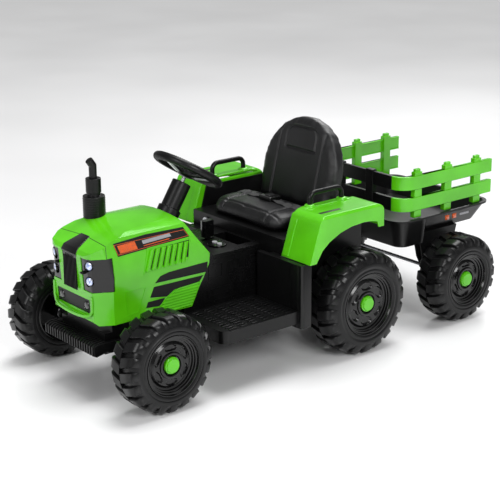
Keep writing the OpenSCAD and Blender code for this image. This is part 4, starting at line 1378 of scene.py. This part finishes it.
def stitch_line(name, cushion, points, direction):
    """A line of stitches dropped on to a cushion along direction."""
    way = Vector(direction).normalized()
    landed = []
    for point in points:
        hit, where, normal, _ = cushion.ray_cast(Vector(point) + way * 0.2, -way, distance=0.5)
        if hit:
            landed.append(where + normal * STITCH_LIFT)
    line = piece_from(name, landed, [], [(k, k + 1) for k in range(len(landed) - 1)])
    return grow(line, "stitch", FINISH["thread"], Pitch=0.0062, Radius=0.00055, Length=0.0042)


def height_on(cushion, x, y, otherwise):
    """The height of a cushion's top at a place, or otherwise where there is none."""
    hit, where, _, _ = cushion.ray_cast(Vector((x, y, 0.5)), Vector((0, 0, -1)), distance=0.3)
    return where.z if hit else otherwise


def make_cushion():
    """The stuffed seat with two long seams and one across its front; returns it and its stitches."""
    low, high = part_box("seat_cushion")
    cushion = puffed("seat_cushion", "seat_pad", (0.004, 0.004, 0.004))

    def depth(point):
        seam = groove(abs(point.y) - SEAT_SEAM_Y, 0.0028, 0.0045)
        crown = 0.004 * max(0, 1 - (abs(point.y) / SEAT_SEAM_Y) ** 2) if point.z > high.z - 0.02 else 0
        front = groove(point.x - high.x + 0.026, 0.003, 0.003)
        return seam + front - crown * 0.6

    press_grooves(cushion, depth, (0.25, 0, 1))
    stitches = []
    for side in (1, -1):
        for offset in (-0.0045, 0.0045):
            run = [(low.x + 0.012 + k * 0.004, side * SEAT_SEAM_Y + offset, high.z) for k in range(36)]
            stitches.append(stitch_line(f"seat_thread_{side}_{offset > 0}", cushion, run, (0, 0, 1)))
    shade(cushion, 180)
    dress(cushion, "chassis", RECORD_SLOT["seat_cushion"], "seat_cushion", finish="leather")
    return cushion, stitches


def make_back():
    """The stuffed back with two upright seams, an arch and a sill; returns its stitches."""
    back = puffed("seat_back", "seat_back_pad", (0.003, 0.004, 0.004))

    def depth(point):
        tall = (point - BACK_FOOT).dot(BACK_UP)
        out = abs(point.y)
        seam = groove(out - BACK_SEAM_Y, 0.003, 0.005)
        if tall > BACK_SEAM_TOP:
            seam *= max(0.0, 1 - (tall - BACK_SEAM_TOP) / BACK_SEAM_FADE)
        corner = math.hypot(max(out - BACK_ARCH_Y, 0), max(tall - BACK_ARCH_TALL, 0))
        arch = groove(corner - BACK_ARCH_RADIUS, 0.003, 0.005) if tall > BACK_ARCH_FOOT else 0
        sill = groove(tall - BACK_SILL_TALL, 0.003, 0.005) if out < BACK_SILL_HALF else 0
        return max(seam, arch, sill)

    press_grooves(back, depth, BACK_FACE)
    stitches = []
    for side in (1, -1):
        for offset in (-0.0048, 0.0048):
            y = side * BACK_SEAM_Y + offset
            run = [BACK_FOOT + BACK_UP * (0.03 + k * 0.005) + Vector((0, y, 0)) for k in range(37)]
            stitches.append(stitch_line(f"back_thread_{side}_{offset > 0}", back, run, BACK_FACE))
    shade(back, 180)
    dress(back, "chassis", RECORD_SLOT["seat_back"], "seat_back", finish="leather")
    return stitches


def make_belt(cushion):
    """Two straps from the buckle, over the seat and down its sides."""
    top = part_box("seat_cushion")[1].z
    belt_x = middle("seat_belt").x
    section = rounded_outline(rectangle((-0.0125, -0.0007), (0.0125, 0.0007)), 0.0006, 2)
    straps = []
    for side in (1, -1):
        path = []
        for k in range(41):
            y = side * (BELT_START_Y + (BELT_EDGE_Y - BELT_START_Y) * k / 40)
            z = height_on(cushion, belt_x, y, top - 0.01) + 0.0022 + 0.0012 * math.sin(k * 0.55)
            path.append((belt_x + 0.004 * math.sin(k * 0.12), y, z))
        for y, drop in ((0.1545, 0.007), (0.1585, 0.016)):
            path.append((belt_x, side * y, path[-1][2] - drop))
        path.append((belt_x, side * 0.1595, 0.335))
        straps.append(sweep(f"strap_{side}", path, section, up=(0, side, 1)))
    belt = shade(join_pieces("lap_belt", straps), 50)
    dress(belt, "chassis", RECORD_SLOT["seat_belt"], "seat_belt", finish="webbing")


def make_buckle(cushion):
    """A rounded shell with a push button, lying on the seat."""
    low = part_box("belt_buckle")[0]
    mid = middle("belt_buckle")
    shell_outline = rounded_outline(rectangle((-0.021, -0.024), (0.021, 0.024)), 0.008)
    shell = coat(rounded(prism("buckle", shell_outline, 0, 0.0125), 0.0025, 3), "gloss_black")
    button_outline = rounded_outline(rectangle((-0.011, -0.009), (0.011, 0.009)), 0.004)
    button = coat(rounded(prism("button", button_outline, 0.011, 0.0142), 0.001, 2), "band_black")
    floor_z = height_on(cushion, mid.x, 0, low.z)
    place = Matrix.Translation((mid.x, mid.y, floor_z - 0.0005))
    buckle = move(join_pieces("belt_buckle_look", [shell, button]), place)
    dress(buckle, "chassis", RECORD_SLOT["belt_buckle"], "belt_buckle")


class TRACTOR_OT_seat(bpy.types.Operator):
    """Builds the stuffed seat and back, their seams and stitches, and the lap belt"""

    bl_idname = "tractor.seat"
    bl_label = "Build Seat"

    def execute(self, context):
        cushion, stitches = make_cushion()
        stitches += make_back()
        dress(join_pieces("seat_stitches", stitches), "chassis", "webbing")
        make_belt(cushion)
        make_buckle(cushion)
        return {"FINISHED"}


# ---- the trailer ----

RAIL_RIBS = (0.3175, 0.3525, 0.3785, 0.4135)
TRAY_MARKS = ((-1024, 15, 0.013, "orange"), (-1053, 15, 0.013, "orange"), (-1094, 36, 0.006, "grey"))
TRAY_MARK_Z = 0.276
RIB_HALF = 0.0012


def rail_ribs(side, sign):
    """Level ribs along a rail's outer face."""
    near, far = sorted((sign * 0.1795, sign * 0.1835))
    start, end = TRAILER_AXLE_X - 0.204, TRAILER_AXLE_X + 0.104
    ribs = []
    for z in RAIL_RIBS:
        rib = brick("rib", (start, near, z - RIB_HALF), (end, far, z + RIB_HALF), 0.4, 1)
        ribs.append(coat(rib, "green"))
    dress(shade(join_pieces(f"rail_ribs_{side}", ribs), 40), "trailer", RECORD_SLOT["rail_left"])


def tray_marks(side, sign):
    """Two orange reflectors and a plain grey mark on the tray's side."""
    near, far = sorted((sign * 0.1985, sign * 0.2012))
    marks = []
    for x, width, tall, finish in TRAY_MARKS:
        low = (rest_of(x - width / 2), near, TRAY_MARK_Z - tall / 2)
        high = (rest_of(x + width / 2), far, TRAY_MARK_Z + tall / 2)
        marks.append(coat(brick("mark", low, high, 0.3, 1), finish))
    dress(join_pieces(f"tray_marks_{side}", marks), "trailer", "black_gloss")


class TRACTOR_OT_trailer(bpy.types.Operator):
    """Builds the trailer: tray, rails, side marks and reflectors"""

    bl_idname = "tractor.trailer"
    bl_label = "Build Trailer"

    def execute(self, context):
        soft_copies(
            ("trailer_tray", "black", 2.0, 2, 35),
            ("front_rail", "black", 2.0, 3),
            ("rail_left", "green", 2.4, 3),
            ("rail_right", "green", 2.4, 3),
        )
        for side, sign in SIDES:
            rail_ribs(side, sign)
            tray_marks(side, sign)
        return {"FINISHED"}


# ---- the studio ----

FLOOR_REACH = 30.0
CAMERA_PLACE = Vector((2.3305, 2.7783, 1.3879))
CAMERA_TARGET = Vector((-0.0153, -0.1106, 0.200))
CAMERA_ROLL = 0.007
CAMERA_LENS = 100.4
CAMERA_SENSOR = 36
SOFT_LIGHTS = (
    ("side_light", (0.8, 3.4, 2.4), (0, 0, 0.2), 1.8, 90),
    ("nose_light", (3.6, 0.6, 2.0), (0.3, 0, 0.2), 1.4, 45),
    ("rear_light", (-2.6, -1.6, 2.4), (0, 0, 0.3), 1.6, 45),
)


def aimed(name, data, place, target):
    """A light or a camera in the scene, turned towards a target."""
    piece = bpy.data.objects.new(name, data)
    bpy.context.scene.collection.objects.link(piece)
    piece.location = place
    piece.rotation_mode = "QUATERNION"
    piece.rotation_quaternion = (Vector(target) - Vector(place)).to_track_quat("-Z", "Y")
    return piece


def make_floor():
    """A level floor that reaches past the edge of every view."""
    corners = rectangle((-FLOOR_REACH, -FLOOR_REACH), (FLOOR_REACH, FLOOR_REACH))
    floor = coat(piece_from("studio_floor", [(x, y, 0) for x, y in corners], [range(4)]), "floor")


def make_lights(brightness):
    """A wide sun, three round soft lights and a white sky."""
    sun = bpy.data.lights.new("soft_sun", "SUN")
    sun.energy = 2.6 * brightness
    sun.angle = math.radians(35)
    aimed("soft_sun", sun, (-0.8, -0.2, 3.0), (0, 0, 0))
    for name, place, target, size, power in SOFT_LIGHTS:
        light = bpy.data.lights.new(name, "AREA")
        light.shape = "DISK"
        light.size = size
        light.energy = power * brightness
        aimed(name, light, place, target)
    world = bpy.context.scene.world or bpy.data.worlds.new("studio_world")
    bpy.context.scene.world = world
    world.use_nodes = True
    sky = world.node_tree.nodes.get("Background")
    sky.inputs["Color"].default_value = (1.0, 1.0, 1.0, 1.0)
    sky.inputs["Strength"].default_value = 0.24


def make_camera():
    """A long lens from ahead and to the left, turned a little about its own line of sight."""
    data = bpy.data.cameras.new("studio_camera")
    data.sensor_width = CAMERA_SENSOR
    data.lens = CAMERA_LENS
    data.clip_end = 60
    camera = aimed("studio_camera", data, CAMERA_PLACE, CAMERA_TARGET)
    roll = Matrix.Rotation(CAMERA_ROLL, 4, (CAMERA_TARGET - CAMERA_PLACE).normalized())
    camera.rotation_quaternion = roll.to_quaternion() @ camera.rotation_quaternion
    bpy.context.scene.camera = camera


class TRACTOR_OT_studio(bpy.types.Operator):
    """Builds the floor, the lights and the camera"""

    bl_idname = "tractor.studio"
    bl_label = "Build Studio"

    def execute(self, context):
        make_floor()
        make_lights(context.scene.tractor_studio.brightness)
        make_camera()
        context.scene.view_settings.view_transform = "Standard"
        return {"FINISHED"}


class TRACTOR_OT_finishes(bpy.types.Operator):
    """Makes the materials and the geometry node trees that the other steps use"""

    bl_idname = "tractor.finishes"
    bl_label = "Make Finishes"

    def execute(self, context):
        make_finishes()
        make_trees()
        return {"FINISHED"}


class TractorBodySettings(bpy.types.PropertyGroup):
    body_colour: bpy.props.FloatVectorProperty(
        name="Body Colour", description="Colour of the hood, the fenders, the rails and the caps",
        subtype="COLOR", size=3, min=0.0, max=1.0, default=(0.09, 0.50, 0.003),
    )


class TractorWheelSettings(bpy.types.PropertyGroup):
    lug_count: bpy.props.IntProperty(
        name="Lugs", description="Tread bars on each side of a tyre", default=20, min=8, max=40,
    )
    pocket_count: bpy.props.IntProperty(
        name="Pockets", description="Oval pockets round the middle of a rim", default=6, min=3, max=12,
    )


class TractorStudioSettings(bpy.types.PropertyGroup):
    brightness: bpy.props.FloatProperty(
        name="Brightness", description="Strength of the studio lights", default=1.0, min=0.0, soft_max=4.0,
    )


class TRACTOR_PT_build(bpy.types.Panel):
    """Lists the steps that build the tractor's looks"""

    bl_label = "Tractor"
    bl_idname = "TRACTOR_PT_build"
    bl_space_type = "VIEW_3D"
    bl_region_type = "UI"
    bl_category = "Tractor"

    def draw(self, context):
        layout = self.layout
        scene = context.scene
        layout.prop(scene.tractor_body, "body_colour")
        layout.prop(scene.tractor_wheels, "lug_count")
        layout.prop(scene.tractor_wheels, "pocket_count")
        layout.prop(scene.tractor_studio, "brightness")
        for step in STEPS:
            layout.operator(step.bl_idname)


STEPS = (
    TRACTOR_OT_finishes,
    TRACTOR_OT_wheels,
    TRACTOR_OT_hood,
    TRACTOR_OT_controls,
    TRACTOR_OT_rear,
    TRACTOR_OT_seat,
    TRACTOR_OT_trailer,
    TRACTOR_OT_studio,
)
SETTINGS = (TractorBodySettings, TractorWheelSettings, TractorStudioSettings)


def register():
    for kind in (*SETTINGS, *STEPS, TRACTOR_PT_build):
        bpy.utils.register_class(kind)
    bpy.types.Scene.tractor_body = bpy.props.PointerProperty(type=TractorBodySettings)
    bpy.types.Scene.tractor_wheels = bpy.props.PointerProperty(type=TractorWheelSettings)
    bpy.types.Scene.tractor_studio = bpy.props.PointerProperty(type=TractorStudioSettings)


def unregister():
    del bpy.types.Scene.tractor_studio
    del bpy.types.Scene.tractor_wheels
    del bpy.types.Scene.tractor_body
    for kind in reversed((*SETTINGS, *STEPS, TRACTOR_PT_build)):
        bpy.utils.unregister_class(kind)


def main():
    register()
    bpy.ops.tractor.finishes()
    bpy.ops.tractor.wheels()
    bpy.ops.tractor.hood()
    bpy.ops.tractor.controls()
    bpy.ops.tractor.rear()
    bpy.ops.tractor.seat()
    bpy.ops.tractor.trailer()
    bpy.ops.tractor.studio()


if __name__ == "__main__":
    main()
